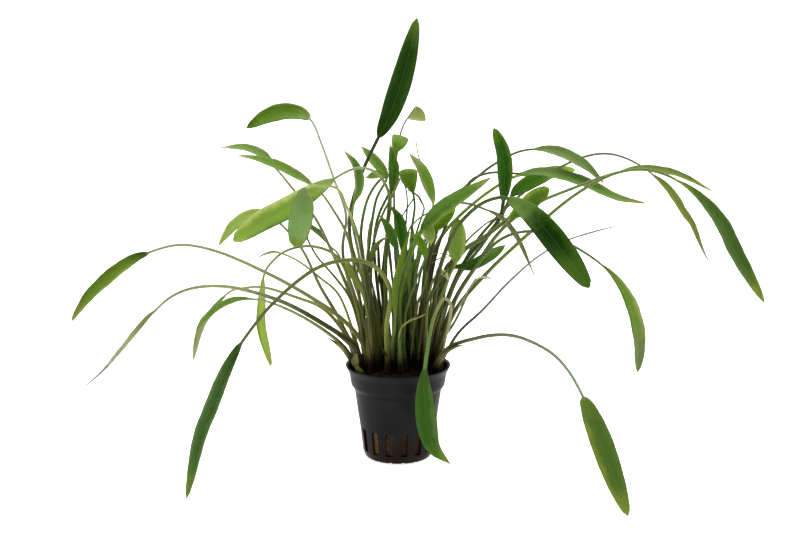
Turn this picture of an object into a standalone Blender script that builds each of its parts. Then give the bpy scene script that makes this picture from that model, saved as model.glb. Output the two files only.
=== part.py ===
"""Potted cryptocoryne: a net pot, its plug of rock wool and one solid for each leaf with its stalk.

Metres, +Z up. The origin is the centre of the pot's underside, and the viewer stands on the -Y side.
Leaf routes are in millimetres as seen from the front: across, up, and how far ahead of the pot's axis.
"""

import math

import bmesh
import bpy
import numpy as np

MM = 0.001

# The viewer's eye, in millimetres: every "seen" point lies on a line from it.
EYE_X, EYE_AHEAD, EYE_Z = 1.05, 1125.4, 362.3

# Pot, in millimetres.
POT_HEIGHT = 50.0
SLOT_COUNT = 15
SLOT_HALF_ANGLE = math.radians(5.6)
FIRST_SLOT = math.radians(-90.0 + 9.8)
NOTCH_TOP = 3.0
SLOT_BOTTOM = 4.6
SLOT_TOP = 17.0
POT_OUTSIDE = [
    (9.2, 0.0), (16.0, 0.0), (17.4, 1.0), (18.2, NOTCH_TOP), (18.6, SLOT_BOTTOM), (20.0, SLOT_TOP),
    (22.9, 37.3), (24.6, 39.4), (25.6, 46.0), (27.3, 49.2), (27.6, POT_HEIGHT),
]
POT_INSIDE = [
    (9.2, 1.5), (15.6, 1.5), (16.5, 2.0), (17.1, NOTCH_TOP), (17.5, SLOT_BOTTOM), (18.9, SLOT_TOP),
    (21.8, 37.6), (23.5, 39.9), (24.5, 46.0), (25.7, 49.4), (26.5, POT_HEIGHT),
]
POT_OPEN_ROWS = (0, 1, 2, 4)

# Rock wool plug.
MEDIUM_STEPS = 24
MEDIUM_TOP = 48.0
MEDIUM_SIDE = [(15.9, 2.1), (16.8, 3.0), (18.5, SLOT_TOP), (21.4, 37.4), (23.1, 40.1), (23.8, 44.2)]
MEDIUM_CROWN = [(17.0, 46.6), (9.0, 47.6)]

# Leaves.
ROOT_GAP = 1.25
STATIONS = 30
SPACE_BETWEEN = 0.55
PUSH_ROUNDS = 400
CROSSING_STATIONS = 6
ROOT_STATIONS = 7
MOST_SHIFT = 22.0
ROOT_SPACE = 3.45
ROOT_REACH = 20.9
RIM_HEIGHT = 54.0
RIM_REACH = 24.6
FOLD = 16.0
BLADE_HALF_THICK = 0.38
BLADE_EDGE_THICK = 0.16
RINGS_PER_RADIAN = 2.8


def leaf(root, stalk, blade, ahead, width, turn, stem=(1.3, 0.5), peak=0.45, ends=(0.75, 0.8), fold=FOLD):
    """One leaf, seen from the front.

    root is its place on the plug, as across and ahead. stalk and blade are its route, and ahead says how
    near its stalk's middle, its blade's base and its tip are. turn is how far the blade is turned from the
    viewer at its base and tip. stem is the stalk's radius at its root and end. peak is where the blade is
    widest, and ends are lower where its base and tip are blunter.
    """
    return {
        "root": root, "stalk": stalk, "blade": blade, "ahead": ahead, "width": width,
        "turn": turn, "stem": stem, "peak": peak, "ends": ends, "fold": fold,
    }


LEAVES = {
    "far_left": leaf(
        (-16, 2), [(-19, 62), (-29.8, 74.8), (-47, 87), (-67, 98.4), (-92, 109.8), (-112, 114),
        (-129, 110)], [(-143, 102), (-160, 87), (-170.8, 72.8)], (4, 16, 26), 9.5, (-40, -48),
        (1.4, 0.65), 0.45, (0.5, 0.6)),
    "left_edge": leaf(
        (-17, 2.7), [(-23, 59.7), (-38, 71), (-59, 83), (-81.4, 90.3), (-98, 92), (-113, 89),
        (-125, 80.7)], [(-139.5, 63.5), (-155, 45.8), (-168.2, 35.4)], (22, 36, 46), 9.5, (-68, -76),
        (1.6, 0.7), 0.25, (0.8, 1)),
    "left_hook_a": leaf(
        (-19, -6.4), [(-26, 64), (-38.2, 79.3), (-52.8, 85.9), (-70, 91.3), (-83, 90.5), (-89, 88)],
        [(-96, 78.7), (-102.4, 69.5), (-107.4, 51.5)], (-5, -9, -4), 8.0, (-60, -60), (1.3, 0.6), 0.5,
        (0.7, 0.6)),
    "left_hook_b": leaf(
        (-20.5, -2.9), [(-28.6, 59.5), (-39.4, 68.7), (-52.6, 77), (-66, 83), (-75, 85)], [(-86, 84),
        (-96, 78.3), (-105, 69)], (4, 8, 14), 7.0, (-52, -56), (1.3, 0.6)),
    "left_yellow": leaf(
        (-17.5, -8.4), [(-19, 70), (-23.3, 89), (-31, 107), (-44, 113.2), (-57.7, 111), (-66, 104.2),
        (-70, 96.7)], [(-71.8, 78), (-71.5, 68), (-66.6, 48.4)], (-13, -18, -12), 5.8, (30, 20),
        (1.3, 0.6), 0.5, (0.45, 0.5)),
    "left_long_dark": leaf(
        (-5, 6.9), [(-6, 70), (-4, 90), (-14.3, 104), (-31, 105.3), (-46.8, 98.8), (-66.2, 81.7),
        (-82, 61.5)], [(-91, 46), (-99, 26.5), (-106, 8), (-112.8, -24.6)], (26, 60, 86), 8.0, (22, 25),
        (1.5, 0.8), 0.42, (0.42, 0.5)),
    "upper_left": leaf(
        (-10.5, -16.5), [(-20, 75), (-28.5, 108), (-26.9, 129.7), (-33.2, 149.3), (-40.2, 169.7),
        (-45, 180)], [(-55, 183.4), (-66, 181.4), (-77.8, 175.2)], (-34, -44, -50), 10.4, (-25, -30),
        (1.2, 0.6), 0.45, (0.4, 0.65)),
    "left_upper_a": leaf(
        (-12.5, -6.8), [(-20, 85), (-25.4, 116), (-33.8, 133), (-42.7, 144.3)], [(-59, 154), (-72, 158.8),
        (-83, 161.1)], (-16, -26, -32), 8.0, (-40, -60), (1.3, 0.6)),
    "left_upper_b": leaf(
        (-14.8, -11.5), [(-24, 85), (-36, 114.2), (-43.5, 129.3), (-56.2, 146.1), (-63.5, 155)],
        [(-70, 161.3), (-80, 164.8), (-92, 165)], (-26, -42, -58), 8.0, (-45, -66), (1.3, 0.6)),
    "left_broad": leaf(
        (-11, 1.3), [(-8, 63), (-6.4, 80), (-6.5, 98), (-5.5, 125), (-4.9, 142), (-12.9, 153.2),
        (-23.7, 153.8), (-33, 148.7)], [(-56, 134), (-70, 126.5), (-85.4, 116)], (2, 22, 36), 12.0,
        (-12, -12), (1.4, 0.65), 0.55, (0.5, 0.38)),
    "left_facing": leaf(
        (-10, 4.1), [(-14, 80), (-20.3, 116.7), (-27.2, 136), (-31, 143.8), (-38, 144.6), (-46.5, 144)],
        [(-49.5, 132), (-51, 124), (-53, 112.4)], (8, 30, 56), 12.5, (5, 0), (1.3, 0.55), 0.55,
        (0.45, 0.35)),
    "left_under": leaf(
        (-20.5, -8.2), [(-30.6, 74), (-40.6, 92), (-50, 112), (-63, 127)], [(-73, 130), (-84, 124.5),
        (-93.2, 113.2)], (-10, -12, -8), 8.0, (-30, -46), (1.3, 0.6), 0.5, (0.6, 0.7)),
    "left_wisp": leaf(
        (-19.5, -11.3), [(-29.4, 84.5), (-41, 96.8), (-52, 105.5), (-60.8, 109.6)], [(-65.5, 109.8),
        (-69, 108.8), (-73.5, 107)], (-26, -36, -40), 3.6, (-60, -70), (0.9, 0.55)),
    "left_hidden": leaf(
        (-6.5, -19), [(-20, 80), (-30, 107), (-35.5, 113.5)], [(-40, 119), (-45, 123), (-50, 128)],
        (-34, -50, -60), 6.0, (-50, -60)),
    "top_tall": leaf(
        (-9, -7.1), [(-13, 76.5), (-16.8, 92.2), (-24.2, 113.4), (-24.5, 132), (-18.6, 151.8),
        (-10, 170.5)], [(-4, 182.5), (2.4, 201), (7, 219), (9.7, 231.7)], (-8, -12, -8), 11.6, (6, 10),
        (1.3, 0.9), 0.42, (0.45, 0.52)),
    "top_small": leaf(
        (3, -17.6), [(1, 90), (-2, 140), (1.2, 171.7), (6.9, 183.1), (10.4, 187.4)], [(10.2, 184),
        (9.8, 181.5), (9.6, 179)], (-30, -56, -64), 9.6, (0, 0), (1.1, 0.4), 0.9, (1, 0.3), 3.0),
    "top_fan_left": leaf(
        (-6, -16.2), [(-12, 105), (-11, 126), (-5.4, 139.7), (-1, 149), (-1.2, 161.5)], [(-0.4, 165.5),
        (0.8, 168.5), (1.6, 171.4)], (-24, -34, -40), 9.0, (0, 0), (1.1, 0.65), 0.88, (0.9, 0.3), 5.0),
    "top_dark": leaf(
        (-4.5, -10.6), [(-8, 90), (-6, 118), (-4, 132), (-3.6, 141)], [(-2.7, 150), (-3.2, 158),
        (-4.2, 167)], (-12, -18, -20), 8.0, (-35, -45), (1.3, 0.6)),
    "top_fan_right": leaf(
        (6, -12), [(6, 90), (7, 120), (8.6, 133), (8, 140.5)], [(6.6, 146), (5.6, 150), (5.2, 154.2)],
        (-14, -22, -26), 9.8, (0, 0), (1.1, 0.6), 0.86, (1, 0.3), 5.0),
    "top_pale": leaf(
        (13, -10.6), [(13, 90), (16.5, 115), (18.2, 135)], [(16.6, 144), (12.5, 154.5), (5.6, 162.3)],
        (-18, -30, -36), 7.4, (25, 30), (1.3, 0.6)),
    "top_twisted": leaf(
        (-10.5, -3), [(-16, 85), (-21, 112), (-23.5, 125), (-23, 135)], [(-19.8, 144), (-21.3, 155),
        (-28, 163.7)], (-6, -6, -8), 5.4, (35, -35), (1.3, 0.6)),
    "top_left_a": leaf(
        (-8, -13), [(-15.5, 97), (-14.6, 116.7), (-13, 129), (-10.8, 139.2), (-5.5, 150)], [(-9.5, 155),
        (-14, 160.5), (-19, 165.8)], (-20, -28, -34), 6.4, (-20, -25), (1.3, 0.7)),
    "top_left_b": leaf(
        (-13.5, -10), [(-17.9, 106), (-19.2, 120), (-16.2, 136.7), (-10.1, 147.5), (-5, 150.3)],
        [(-9, 151.4), (-13, 150.6), (-16.6, 149.3)], (-24, -36, -44), 5.0, (-20, -20), (1.3, 0.7)),
    "centre_dark_left": leaf(
        (-2, -4), [(-2, 80), (0.5, 100), (0, 110.5)], [(-2.5, 116), (-6, 124), (-9.7, 129.7)],
        (5, 10, 18), 5.8, (-20, -30), (1.3, 0.7)),
    "centre_dark_right": leaf(
        (3.5, -7.1), [(4.6, 56), (2.2, 68), (0.2, 82), (1.2, 98), (2, 110)], [(2.6, 118), (1, 128),
        (-4, 135)], (-5, -6, -4), 6.6, (20, 30), (1.3, 0.8)),
    "centre_strap": leaf(
        (-1.5, 3.8), [(-3, 60), (-1.6, 72)], [(-1.7, 89), (1, 103.3), (6, 121)], (16, 18, 26), 4.4,
        (-30, -20), (1.3, 0.7)),
    "centre_bright": leaf(
        (8, -3.2), [(6, 90), (6.5, 112), (7, 119)], [(10, 117.5), (13, 112), (14.5, 105.5)], (8, 16, 24),
        5.0, (20, 10), (1.3, 0.7)),
    "centre_light": leaf(
        (10.8, -1), [(9, 90), (11.5, 118), (14, 126)], [(14.6, 124.4), (15.8, 120), (17.2, 114.6)],
        (2, 6, 14), 7.4, (15, 10), (1.3, 0.6), 0.5, (0.5, 0.5)),
    "right_long": leaf(
        (3.5, 6), [(1.5, 69.5), (0.6, 81.8), (1.8, 94), (4.6, 104), (8.4, 113.6), (12, 121.5)],
        [(20, 131.5), (31, 139.8), (47.7, 149.6)], (10, 7, 14), 8.6, (-10, -40), (1.3, 1.1), 0.42,
        (0.5, 0.7)),
    "right_bright": leaf(
        (13, -4.7), [(13, 90), (14.5, 112), (17, 120)], [(21, 125), (25, 128.5), (29.8, 133)], (2, 4, 2),
        6.4, (-15, -20)),
    "right_light": leaf(
        (14.5, -1.2), [(19, 75), (25, 93), (29.5, 104)], [(30.4, 112), (31.2, 120), (31.5, 127.8)],
        (2, 8, 9), 10.4, (10, 15), (1.2, 0.6), 0.5, (0.7, 0.6)),
    "right_dark": leaf(
        (15.6, -6.2), [(20, 75), (25.5, 93), (29, 101.5)], [(38, 103.2), (46.5, 108), (55.8, 114)],
        (-2, 4, 10), 6.8, (-20, -25), (1.2, 0.6), 0.62, (0.5, 0.7)),
    "right_upright": leaf(
        (17.3, -8.8), [(24, 80), (34, 104), (46, 119), (52.5, 128), (54.3, 136.5)], [(54.9, 149),
        (53.8, 162), (49, 175.3)], (-13, -10, -4), 8.8, (-15, -20), (1.3, 1), 0.5, (0.5, 0.45)),
    "right_arch_high": leaf(
        (9, -8.5), [(15, 100), (25, 133), (42.5, 151.2), (57.6, 161.1), (68.6, 164.2)], [(82, 162.7),
        (96, 155.5), (106.3, 146.2)], (-18, -22, -14), 8.6, (46, 46), (1.3, 0.6)),
    "right_arch_low": leaf(
        (12.5, -13.4), [(20, 110), (35.7, 145.3), (46, 151.6), (55, 152), (61.3, 151.4)], [(76, 152),
        (95, 146.9), (113, 138.7), (128.7, 135.8)], (-24, -18, -10), 8.6, (47, 47), (1.1, 0.6), 0.38,
        (0.6, 0.7)),
    "right_behind": leaf(
        (7.5, -17.9), [(17.2, 103.5), (23.6, 119.9), (37.5, 134.6), (51.5, 145.3), (60.9, 150.2)],
        [(70, 151.8), (80, 153.3), (91.5, 153.4)], (-26, -36, -40), 5.0, (5, 0), (1.4, 0.8), 0.7,
        (0.6, 0.5)),
    "right_dark_short": leaf(
        (17.5, -12), [(29, 92), (43, 113), (53, 128), (58.3, 139.5)], [(64, 144.5), (71, 148),
        (80, 149.6)], (-20, -22, -28), 8.0, (5, 10), (1.2, 0.8), 0.45, (0.6, 0.8)),
    "right_olive": leaf(
        (17.6, -2.8), [(24, 90), (33, 109.6), (45, 118.3), (56, 127)], [(63, 132.5), (71, 139.5),
        (78, 143.8)], (4, 8, 2), 9.2, (-15, -15), (1.5, 1.1), 0.6, (0.8, 0.4)),
    "right_big": leaf(
        (12, 4.4), [(17.5, 72), (21.4, 100), (29.4, 121.1), (39.7, 133.3), (49, 138.3), (56.5, 138.4)],
        [(70, 129), (84, 112.5), (99.8, 91)], (14, 40, 68), 12.8, (8, 8), (1.5, 0.9), 0.52, (0.45, 0.42)),
    "right_hook": leaf(
        (19, 0.6), [(30, 85), (41, 103), (51.5, 115.7), (64.1, 120.9), (76, 120), (90.3, 113.8),
        (103.3, 105.4)], [(113, 96), (121, 82), (125.6, 64), (125.8, 45.2)], (8, 22, 34), 9.6, (45, 42),
        (1.3, 0.6), 0.6, (1, 0.5)),
    "far_right": leaf(
        (20.8, -5.7), [(28.7, 76.6), (45.1, 97.8), (68.4, 120.6), (90, 139.4), (110, 151), (126, 153.6),
        (140, 150)], [(154, 140.5), (166.5, 126), (175.5, 109), (191.3, 82.8)], (4, 14, 24), 9.6,
        (50, 20), (1.3, 0.7), 0.5, (1, 0.6)),
    "right_twin": leaf(
        (20.3, -9.2), [(28.2, 81.1), (39.5, 101.2), (53.4, 121.7), (70.3, 135.1), (91.7, 144.5),
        (112, 152)], [(126, 154), (144, 150.8), (163.2, 141.6)], (-12, -6, 0), 7.0, (60, 60), (1.5, 0.7),
        0.45, (0.8, 0.8)),
    "right_thin": leaf(
        (16, -14.1), [(34, 104), (52, 129.5), (75, 149.5), (94.7, 160), (109, 161.8), (120, 158.3),
        (130, 152)], [(139, 143.5), (145, 135), (148.3, 129.6), (153, 123), (157, 113), (163, 102.5)],
        (-30, -18, -4), 6.6, (48, 54), (1.1, 0.55), 0.3, (0.8, 1)),
    "right_low": leaf(
        (18, 3.4), [(26, 58.5), (40, 63.7), (53, 65.8), (65, 64), (80, 56.3), (90, 45.5), (97.5, 32)],
        [(101.5, 22), (107, 8), (115, -14), (122.7, -34.2)], (36, 84, 113), 11.8, (15, 12), (1.5, 0.75),
        0.42, (0.38, 0.5)),
    "front": leaf(
        (20, 1.5), [(24.5, 62), (26.8, 73), (27.6, 81), (25.4, 86), (22.2, 83), (18.4, 74), (16.2, 63),
        (14.2, 48.5)], [(13.7, 38), (14.8, 22), (18.4, 5), (27.7, -5)], (24, 32, 42), 11.2, (0, -10),
        (1.2, 0.9), 0.5, (0.7, 0.9)),
    "right_drooping": leaf(
        (1.5, -10.2), [(12, 110), (24, 133), (33, 136.3), (44, 133.2)], [(54, 127.8), (61.8, 117.5),
        (67, 106.5), (71, 97.4)], (-6, -8, -2), 3.6, (30, 35), (0.9, 0.6), 0.4, (0.7, 0.9)),
    "right_wisp": leaf(
        (21, -2.1), [(31, 66), (44, 79), (58, 94.5), (73, 108), (88, 116.5)], [(95, 119), (103, 121.4),
        (113.2, 124)], (12, 18, 22), 1.1, (0, 0), (0.9, 0.45)),
    "small_arch": leaf(
        (15, 9.8), [(15, 75), (17, 91), (19.5, 97.2)], [(22.5, 99.2), (24.5, 98.2), (26, 95.5)],
        (13, 14, 16), 3.6, (20, 20), (0.9, 0.6)),
    "pale_wisp": leaf(
        (13.2, -8.6), [(28, 70), (35.7, 86), (39.9, 93.5)], [(43.6, 96.3), (46, 96.7), (48.8, 95.9)],
        (-6, -4, -2), 2.4, (-20, 20), (0.9, 0.6)),
    "young_left": leaf(
        (-18.5, 8.5), [(-21.6, 48.2)], [(-22.4, 50.5), (-22.4, 53), (-21.6, 55.6)], (10, 10, 10), 4.2,
        (0, 0), (1.3, 1.1)),
    "young_centre": leaf(
        (1.5, 9), [(0.5, 58), (1.1, 68.3)], [(6.1, 73.4), (9.5, 74.6), (14.3, 76.8)], (13, 16, 20), 1.6,
        (0, 0), (1, 0.55)),
    "short_arch": leaf(
        (-13.8, 5.2), [(-14.5, 80), (-13.5, 105)], [(-12, 112), (-9, 116.3), (-5, 118)], (12, 15, 20),
        2.6, (-10, -10), (1.1, 0.6)),
    "hidden_left": leaf(
        (-17.2, -11.4), [(-21, 73), (-25.5, 86.5), (-33, 97), (-41.8, 107.5), (-46.4, 116)],
        [(-49, 122.4), (-50.6, 128), (-51, 133)], (-16, -24, -26), 4.0, (-20, -20), (1.1, 0.5)),
    "left_strap": leaf(
        (-14.5, -3.5), [(-15.5, 75), (-18.5, 88)], [(-21.5, 94), (-24.8, 100.5), (-28, 107)],
        (-4, -6, -8), 4.6, (-20, -20), (1.2, 0.8), 0.6, (0.6, 0.7)),
    "hidden_centre": leaf(
        (-1, -18.6), [(4, 90), (9, 118), (13.4, 132.7)], [(12, 137), (9.8, 140.5), (5, 143)],
        (-30, -46, -54), 1.4, (20, 20), (1.1, 0.5)),
    "centre_blade": leaf(
        (5.8, -0.3), [(1.5, 60), (0.5, 76)], [(2, 88), (6, 98.5), (11.5, 110)], (3, 2, 0), 5.4,
        (-35, -30), (1.3, 0.9), 0.5, (0.6, 0.7)),
    "centre_brown": leaf(
        (1.5, -13.6), [(4, 62), (3.6, 70)], [(4.2, 79), (6, 89), (9, 100)], (-16, -18, -20), 6.2,
        (-10, -15), (1.3, 1.2), 0.4, (0.5, 0.8)),
    "hidden_right": leaf(
        (11.5, -16.2), [(22, 85), (33, 112), (44, 124)], [(48, 126.5), (52, 128.4), (56, 129.6)],
        (-30, -46, -54), 1.4, (30, 30), (1.1, 0.5)),
}


def seen_to_real(across, up, ahead):
    """Real (x, y, z) of points seen at (across, up) and lying so far ahead of the pot's axis."""
    near = 1.0 - ahead / EYE_AHEAD
    return np.stack([EYE_X + (across - EYE_X) * near, -ahead, EYE_Z + (up - EYE_Z) * near], axis=-1)


def real_to_seen(points):
    """The seen (across, up) and the distance ahead of real points."""
    ahead = -points[..., 1]
    near = 1.0 - ahead / EYE_AHEAD
    across = EYE_X + (points[..., 0] - EYE_X) / near
    up = EYE_Z + (points[..., 2] - EYE_Z) / near
    return across, up, ahead


def smooth_line(points, per_span=24):
    """A Catmull-Rom curve through the points, with even parameter steps in each span."""
    points = np.asarray(points, float)
    padded = np.vstack([2 * points[0] - points[1], points, 2 * points[-1] - points[-2]])
    steps = np.linspace(0.0, 1.0, per_span, endpoint=False)[:, None]
    line = []
    for a, b, c, d in zip(padded, padded[1:], padded[2:], padded[3:]):
        curve = 2 * b + (c - a) * steps + (2 * a - 5 * b + 4 * c - d) * steps**2
        line.append(0.5 * (curve + (3 * b - a - 3 * c + d) * steps**3))
    return np.vstack(line + [points[-1:]])


def run_length(line):
    """Distance along a line at each of its points."""
    return np.concatenate([[0.0], np.cumsum(np.linalg.norm(np.diff(line, axis=0), axis=1))])


def crown_height(radius):
    """Height of the plug's crown at a distance from its middle."""
    profile = [(0.0, MEDIUM_TOP)] + MEDIUM_CROWN[::-1] + [MEDIUM_SIDE[-1]]
    return np.interp(radius, [point[0] for point in profile], [point[1] for point in profile])


def spread_roots():
    """Root places on the plug, moved apart until the stalks have room, and kept inside the pot."""
    roots = np.array([spec["root"] for spec in LEAVES.values()], float)
    for _ in range(400):
        apart = roots[:, None] - roots[None]
        distance = np.linalg.norm(apart, axis=2) + np.eye(len(roots)) * 99.0
        short = np.clip(ROOT_SPACE - distance, 0.0, None)
        roots = roots + 0.3 * (apart / distance[:, :, None] * short[:, :, None]).sum(axis=1)
        reach = np.linalg.norm(roots, axis=1)
        roots = roots * np.minimum(1.0, ROOT_REACH / reach)[:, None]
    return roots


def leaf_route(spec, x, ahead):
    """Seen route of a leaf at even stations, its depth there, and where along it the blade starts."""
    near = 1.0 - ahead / EYE_AHEAD
    foot = crown_height(math.hypot(x, ahead)) + ROOT_GAP
    root = (EYE_X + (x - EYE_X) / near, EYE_Z + (foot - EYE_Z) / near)
    line = smooth_line([root] + spec["stalk"] + spec["blade"])
    run = run_length(line)
    length = run[-1]
    base = run[24 * len(spec["stalk"])]
    stations = np.linspace(0.0, length, STATIONS)
    across = np.interp(stations, run, line[:, 0])
    up = np.interp(stations, run, line[:, 1])
    middle, at_base, tip = spec["ahead"]
    knots = np.array([(0.0, ahead), (0.45 * base, middle), (base, at_base), (length, tip)])
    depth_line = smooth_line(knots)
    depth = np.interp(stations, depth_line[:, 0], depth_line[:, 1])
    return {"across": across, "up": up, "depth": depth, "run": stations, "base": base, "length": length}


def at_run(route, run):
    """Real points of a leaf's middle line at distances along its seen route."""
    across = np.interp(run, route["run"], route["across"])
    up = np.interp(run, route["run"], route["up"])
    depth = np.interp(run, route["run"], route["depth"])
    return seen_to_real(across, up, depth)


def leaf_frames(route, spec, run):
    """Middle points of a leaf with the direction of its width and of its upper face."""
    middle = at_run(route, run)
    step = 0.012 * route["length"]
    after, before = np.minimum(run + step, route["length"]), np.maximum(run - step, 0.0)
    along = at_run(route, after) - at_run(route, before)
    along /= np.linalg.norm(along, axis=1)[:, None]
    to_eye = np.array([EYE_X, -EYE_AHEAD, EYE_Z]) - middle
    to_eye /= np.linalg.norm(to_eye, axis=1)[:, None]
    side = np.cross(along, to_eye)
    side /= np.linalg.norm(side, axis=1)[:, None]
    facing = np.cross(side, along)
    share = np.clip((run - route["base"]) / (route["length"] - route["base"]), 0.0, 1.0)
    turn = np.radians(spec["turn"][0] + (spec["turn"][1] - spec["turn"][0]) * share)[:, None]
    width = np.cos(turn) * side + np.sin(turn) * facing
    face = np.cos(turn) * facing - np.sin(turn) * side
    return middle, width, face


def blade_half_width(spec, share):
    """Half width of the blade at a share of its length: a lance shape with its widest part at peak."""
    share = np.clip(share, 0.0, 1.0)
    peak = spec["peak"]
    rise = np.sin(0.5 * np.pi * np.minimum(share / peak, 1.0)) ** spec["ends"][0]
    fall = np.cos(0.5 * np.pi * np.clip((share - peak) / (1.0 - peak), 0.0, 1.0)) ** spec["ends"][1]
    return 0.5 * spec["width"] * rise * fall


def stalk_radius(route, spec, run):
    """Radius of the stalk, which tapers from the root to the blade."""
    start, end = spec["stem"]
    return start + (end - start) * np.clip(run / route["base"], 0.0, 1.0) ** 0.8


def leaf_samples(route, spec):
    """Balls that fill a leaf: seen place, distance ahead, radius and nearest station of each."""
    run = np.linspace(0.0, route["length"], max(12, int(route["length"] / 2.2)))
    middle, width, face = leaf_frames(route, spec, run)
    share = (run - route["base"]) / (route["length"] - route["base"])
    half = np.where(share > 0, blade_half_width(spec, share), 0.0)
    station = np.rint(run / route["length"] * (STATIONS - 1)).astype(int)
    fold = math.radians(spec["fold"])
    rows = [(middle, stalk_radius(route, spec, run) * np.where(share > 0.1, 0.7, 1.0), station)]
    for place in (-0.85, -0.5, 0.5, 0.85):
        wide = half > 0.8
        reach = half[:, None] * (place * math.cos(fold) * width + abs(place) * math.sin(fold) * face)
        rows.append(((middle + reach)[wide], 0.3 + 0.2 * half[wide], station[wide]))
    points = np.vstack([row[0] for row in rows])
    across, up, ahead = real_to_seen(points)
    radius = np.concatenate([row[1] for row in rows])
    return across, up, ahead, radius, np.concatenate([row[2] for row in rows])


def close_pairs(owner, across, up, radius):
    """Pairs of balls of different leaves that hide each other, and how far apart in depth they must be."""
    order = np.argsort(across)
    first, second, need = [], [], []
    reach = 2 * radius.max() + SPACE_BETWEEN
    ends = np.searchsorted(across[order], across[order] + reach)
    for place, index in enumerate(order):
        others = order[place + 1 : ends[place]]
        room = radius[index] + radius[others] + SPACE_BETWEEN
        apart = np.hypot(across[others] - across[index], up[others] - up[index])
        hit = (apart < room) & (owner[others] != owner[index])
        first.append(np.full(hit.sum(), index))
        second.append(others[hit])
        need.append(np.sqrt(room[hit] ** 2 - apart[hit] ** 2))
    return np.concatenate(first), np.concatenate(second), np.concatenate(need)


def spread_kernel():
    """How one push on a leaf is shared by the stations beside it."""
    places = np.arange(-5, 6)
    return np.exp(-0.5 * (places / 2.2) ** 2)


def rim_limits(routes):
    """How far ahead or behind each station may lie, so that the stalks rise inside the pot's rim."""
    limits = np.full((len(routes), STATIONS), 1000.0)
    for row, route in enumerate(routes.values()):
        real = seen_to_real(route["across"], route["up"], route["depth"])
        low = (real[:, 2] < RIM_HEIGHT) & (route["run"] < 16.0)
        limits[row, low] = np.sqrt(np.clip(RIM_REACH**2 - real[low, 0] ** 2, 16.0, None))
    return limits


def crossing_order(owner, station, first, second, ahead):
    """Which leaf passes in front: one answer for all the balls of a crossing, except close to the roots."""
    place = (owner[first] * len(LEAVES) + owner[second]) * STATIONS + station[first] // CROSSING_STATIONS
    _, group = np.unique(place, return_inverse=True)
    own_lead = ahead[first] - ahead[second]
    lead = np.bincount(group, weights=own_lead)[group]
    low = np.minimum(station[first], station[second]) < ROOT_STATIONS
    return np.where(np.where(low, own_lead, lead) >= 0, 1.0, -1.0)


def part_leaves(routes):
    """Moves leaves nearer or farther, never sideways as seen, until none runs through another."""
    owner, across, up, ahead, radius, station = [], [], [], [], [], []
    for index, (name, route) in enumerate(routes.items()):
        sample = leaf_samples(route, LEAVES[name])
        owner.append(np.full(len(sample[0]), index))
        for bucket, values in zip((across, up, ahead, radius, station), sample):
            bucket.append(values)
    lists = (owner, across, up, ahead, radius, station)
    owner, across, up, ahead, radius, station = map(np.concatenate, lists)
    first, second, need = close_pairs(owner, across, up, radius)
    swap = owner[first] > owner[second]
    first, second = np.where(swap, second, first), np.where(swap, first, second)
    sign = crossing_order(owner, station, first, second, ahead)
    shift = np.zeros((len(routes), STATIONS))
    kernel = spread_kernel()
    hold = np.clip(np.arange(STATIONS) / 2.0, 0.0, 1.0)
    depth = np.array([route["depth"] for route in routes.values()])
    limits = rim_limits(routes)
    for _ in range(PUSH_ROUNDS):
        now = ahead + shift[owner, station]
        short = need - sign * (now[first] - now[second])
        bad = short > 0
        if not bad.any():
            break
        push = 0.5 * sign[bad] * short[bad]
        high = np.zeros_like(shift)
        low = np.zeros_like(shift)
        np.maximum.at(high, (owner[first[bad]], station[first[bad]]), push)
        np.minimum.at(low, (owner[first[bad]], station[first[bad]]), push)
        np.maximum.at(high, (owner[second[bad]], station[second[bad]]), -push)
        np.minimum.at(low, (owner[second[bad]], station[second[bad]]), -push)
        change = high + low
        for row in range(len(routes)):
            shift[row] += 0.35 * hold * np.convolve(change[row], kernel, mode="same")
        shift = np.clip(np.clip(depth + shift, -limits, limits) - depth, -MOST_SHIFT, MOST_SHIFT)
    for index, route in enumerate(routes.values()):
        route["depth"] = depth[index] + shift[index]
    return routes


def all_routes():
    """Routes of every leaf, parted from each other."""
    roots = spread_roots()
    return part_leaves({name: leaf_route(spec, *root) for (name, spec), root in zip(LEAVES.items(), roots)})


def even_effort(route, start, end, per_mm, fewest, most):
    """Distances from start to end, closer together where the leaf bends."""
    run = np.linspace(start, end, 40)
    points = at_run(route, run)
    along = np.diff(points, axis=0)
    along /= np.linalg.norm(along, axis=1)[:, None]
    bend = np.arccos(np.clip((along[:-1] * along[1:]).sum(axis=1), -1.0, 1.0))
    bend = np.convolve(np.concatenate([[0.0], bend, [0.0]]), (0.25, 0.5, 0.25), mode="same")
    effort = np.diff(run) * per_mm + 0.5 * (bend[:-1] + bend[1:]) * RINGS_PER_RADIAN
    total = np.concatenate([[0.0], np.cumsum(effort)])
    count = int(np.clip(round(total[-1]), fewest, most))
    return np.interp(np.linspace(0.0, total[-1], count + 1), total, run)


def ring_runs(route):
    """Distances along the leaf at which the solid has a ring."""
    stalk = even_effort(route, 0.0, route["base"], 1 / 50.0, 2, 9)
    share = np.linspace(0.0, 1.0, len(even_effort(route, route["base"], route["length"], 1 / 17.0, 4, 7)))
    share = 0.45 * share + 0.55 * (0.5 - 0.5 * np.cos(np.pi * share))
    return np.concatenate([stalk, (route["base"] + (route["length"] - route["base"]) * share)[1:]])


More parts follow.
